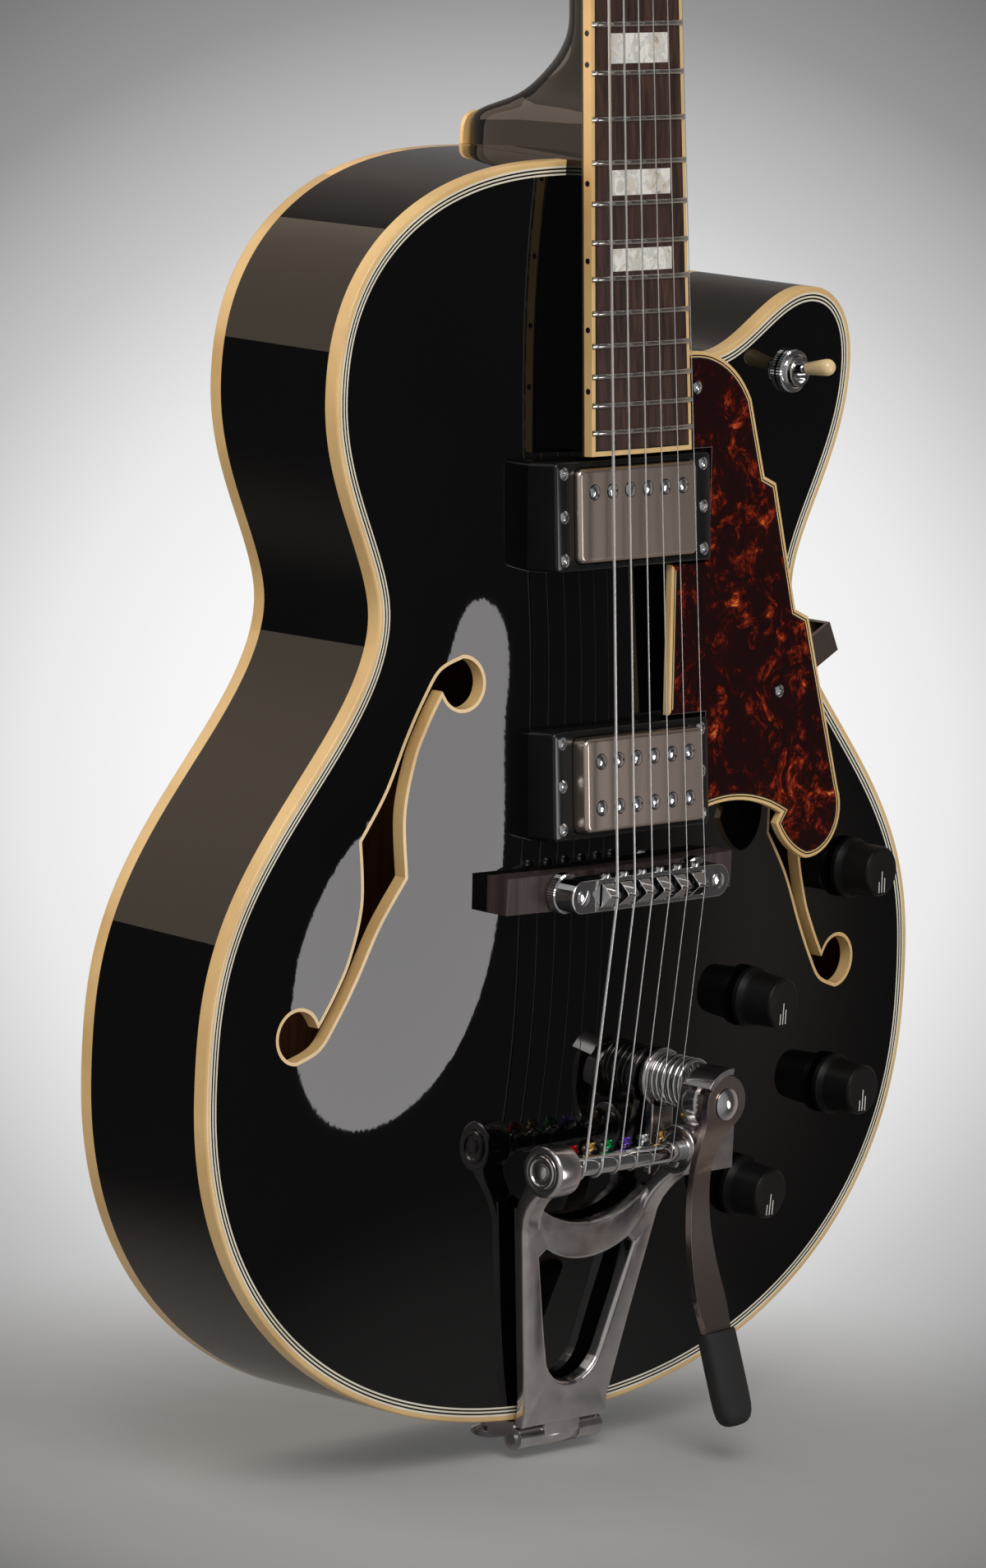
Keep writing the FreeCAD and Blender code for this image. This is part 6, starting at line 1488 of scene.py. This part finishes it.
def build_tuners():
    """Housings with rounded edges and a cap on the head's back, bushings on its front."""
    outer = CASE_CAP - HEAD_BACK - CASE_DEPTH
    case = rounded_box(CASE_WIDTH, CASE_LENGTH, CASE_CORNER)
    case = moved(slab(case, outer, -HEAD_BACK, CASE_ROUND, 5), MIRROR_BACK)
    cap = turned(CAP_PROFILE, 28, (0, -outer, 0), (0, 1, 0))
    shapes = []
    for side in (-1, 1):
        for z in TUNER_ROWS:
            seat = Matrix.Translation((side * TUNER_OFFSET, 0, z - CASE_DROP))
            bushing = turned(BUSHING_RING, 36, (side * TUNER_OFFSET, 0, z), (0, -1, 0), hollow=True)
            shapes += [moved(case, seat), moved(cap, seat), bushing]
    piece("tuner_cases", moved(merged(shapes), head_place()), "chrome", nodes=["tuner_housings"],
          crease=45)


def build_fittings():
    softened("nut", "bone", 0.35)
    softened("pickguard_bracket", "brushed_arm", 0.25)


# Stage


def build_world():
    """Soft even light; seen directly or in a reflection it is the photograph's pale backdrop."""
    world = bpy.data.worlds.new("studio")
    bpy.context.scene.world = world
    world.use_nodes = True
    made = Nodes(world.node_tree)
    made.tree.nodes.clear()
    spot = made.add("ShaderNodeTexCoord").outputs["Generated"]
    dot = made.add("ShaderNodeVectorMath", {0: spot, 1: [-part for part in CAMERA_BACK]},
                   operation="DOT_PRODUCT")
    shades = []
    for end, stops in ((1.0 - BACKDROP_SPAN / BACKDROP_RATE,
                        [(place, (level,) * 3) for place, level in BACKDROP]), (-1.0, SURROUND)):
        away = made.add("ShaderNodeMapRange", {"Value": dot.outputs["Value"], "From Min": 1.0,
                                               "From Max": end})
        shades.append(made.ramp(away.outputs[0], stops))
    shaded = made.add("ShaderNodeVectorMath", {0: shades[0], 1: shades[1]}, operation="MULTIPLY")
    seen = made.add("ShaderNodeBackground", {"Color": shaded.outputs[0],
                                             "Strength": SURROUND_GAIN})
    even = made.add("ShaderNodeBackground", {"Color": AMBIENT_COLOUR, "Strength": AMBIENT})
    path = made.add("ShaderNodeLightPath")
    either = path.outputs["Is Camera Ray"]
    for kind in ("Is Glossy Ray", "Is Transmission Ray"):
        join = made.add("ShaderNodeMath", {0: either, 1: path.outputs[kind]}, operation="MAXIMUM")
        either = join.outputs[0]
    mix = made.add("ShaderNodeMixShader", {"Fac": either, 1: even.outputs[0], 2: seen.outputs[0]})
    made.add("ShaderNodeOutputWorld", {"Surface": mix.outputs[0]})


def build_floor():
    """A pale disc under the guitar that fades into the backdrop."""
    made = Finish("pale_floor", Roughness=0.9)
    where = made.place()
    made.colour(made.noise(where, 14.0), (0.3, (0.36, 0.36, 0.36)), (0.7, (0.39, 0.39, 0.39)))
    away = made.add("ShaderNodeVectorMath", {0: where}, operation="LENGTH").outputs["Value"]
    fade = made.add("ShaderNodeMapRange", {
        "Value": away, "From Min": FLOOR_CLEAR, "From Max": FLOOR_FADE, "To Min": FLOOR_WEIGHT,
        "To Max": 0.0}, interpolation_type="SMOOTHSTEP")
    made.feed(made.shader.inputs["Alpha"], fade.outputs[0])
    level = cad_box[0][2] - FLOOR_DROP
    rim = [(FLOOR_FADE * c, FLOOR_FADE * s, level) for c, s in circle(FLOOR_SIDES)]
    mesh = bpy.data.meshes.new("floor")
    mesh.from_pydata(rim, [], [tuple(range(FLOOR_SIDES))])
    mesh.materials.append(made.material)
    floor = bpy.data.objects.new("floor", mesh)
    bpy.context.scene.collection.objects.link(floor)


def soft_box(name, place, aim, size, watts, colour, shift=(0, 0), roll=0, shape="RECTANGLE"):
    """A soft light aimed at a spot, then moved sideways and rolled in its own plane."""
    light = bpy.data.lights.new(name, "AREA")
    light.shape = shape
    light.size, light.size_y = size
    light.energy = watts
    light.color = colour
    obj = bpy.data.objects.new(name, light)
    turn = (Vector(aim) - Vector(place)).to_track_quat("-Z", "Y").to_matrix().to_4x4()
    obj.matrix_world = (Matrix.Translation(place) @ turn @ Matrix.Translation((*shift, 0))
                        @ spun(roll))
    obj.visible_camera = False
    bpy.context.scene.collection.objects.link(obj)


def towards(spot, azimuth, elevation, distance):
    """A place seen from a spot; azimuth turns from -Y towards +X."""
    a, e = math.radians(azimuth), math.radians(elevation)
    way = Vector((math.sin(a) * math.cos(e), -math.cos(a) * math.cos(e), math.sin(e)))
    return Vector(spot) + distance * way


def build_lights():
    soft_box("front_box", towards(FLANK, 30, -7, 2.2), FLANK, (0.60, 1.20), 7.4,
             (1.0, 0.97, 0.98), (-0.10, -0.05), 20, "ELLIPSE")
    soft_box("side_panel", (-0.62, 0.50, 0.98), (-0.15, 0.0, 0.55), (1.3, 1.0), 4.2,
             (1.0, 0.79, 0.61))
    soft_box("neck_panel", (-0.095, 0.075, 0.565), (0.9, -0.02, 0.66), (0.20, 0.24), 0.11,
             (1.0, 0.79, 0.64))
    soft_box("key_box", towards((0, 0, 0.3), -38, 42, 2.2), (0, 0, 0.25), (1.2, 1.2), 24.0,
             (1.0, 0.98, 0.95))


def build_camera():
    data = bpy.data.cameras.new("camera")
    data.lens = CAMERA_LENS
    data.sensor_width = CAMERA_SENSOR
    data.clip_end = CAMERA_FAR
    camera = bpy.data.objects.new("camera", data)
    turn = Matrix((CAMERA_RIGHT, CAMERA_UP, CAMERA_BACK)).transposed()
    camera.matrix_world = Matrix.Translation(CAMERA_PLACE) @ turn.to_4x4()
    bpy.context.scene.collection.objects.link(camera)
    bpy.context.scene.camera = camera


def finish_nodes():
    for finish, nodes in NODE_FINISHES.items():
        for node in nodes:
            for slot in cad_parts[node].material_slots:
                slot.material = FINISHES[finish]


for build in (build_world, build_floor, build_lights, build_camera, finish_nodes, build_plates,
              build_sides, build_bindings, build_purfling, build_neck, build_headstock,
              build_extension, build_heel_cap, build_frets, build_board_lines, build_side_dots,
              build_pickups, build_bridge, build_guard, build_knobs, build_switch, build_vibrato,
              build_screws, build_tuners, build_fittings):
    build()

bpy.context.scene.view_settings.view_transform = "Standard"
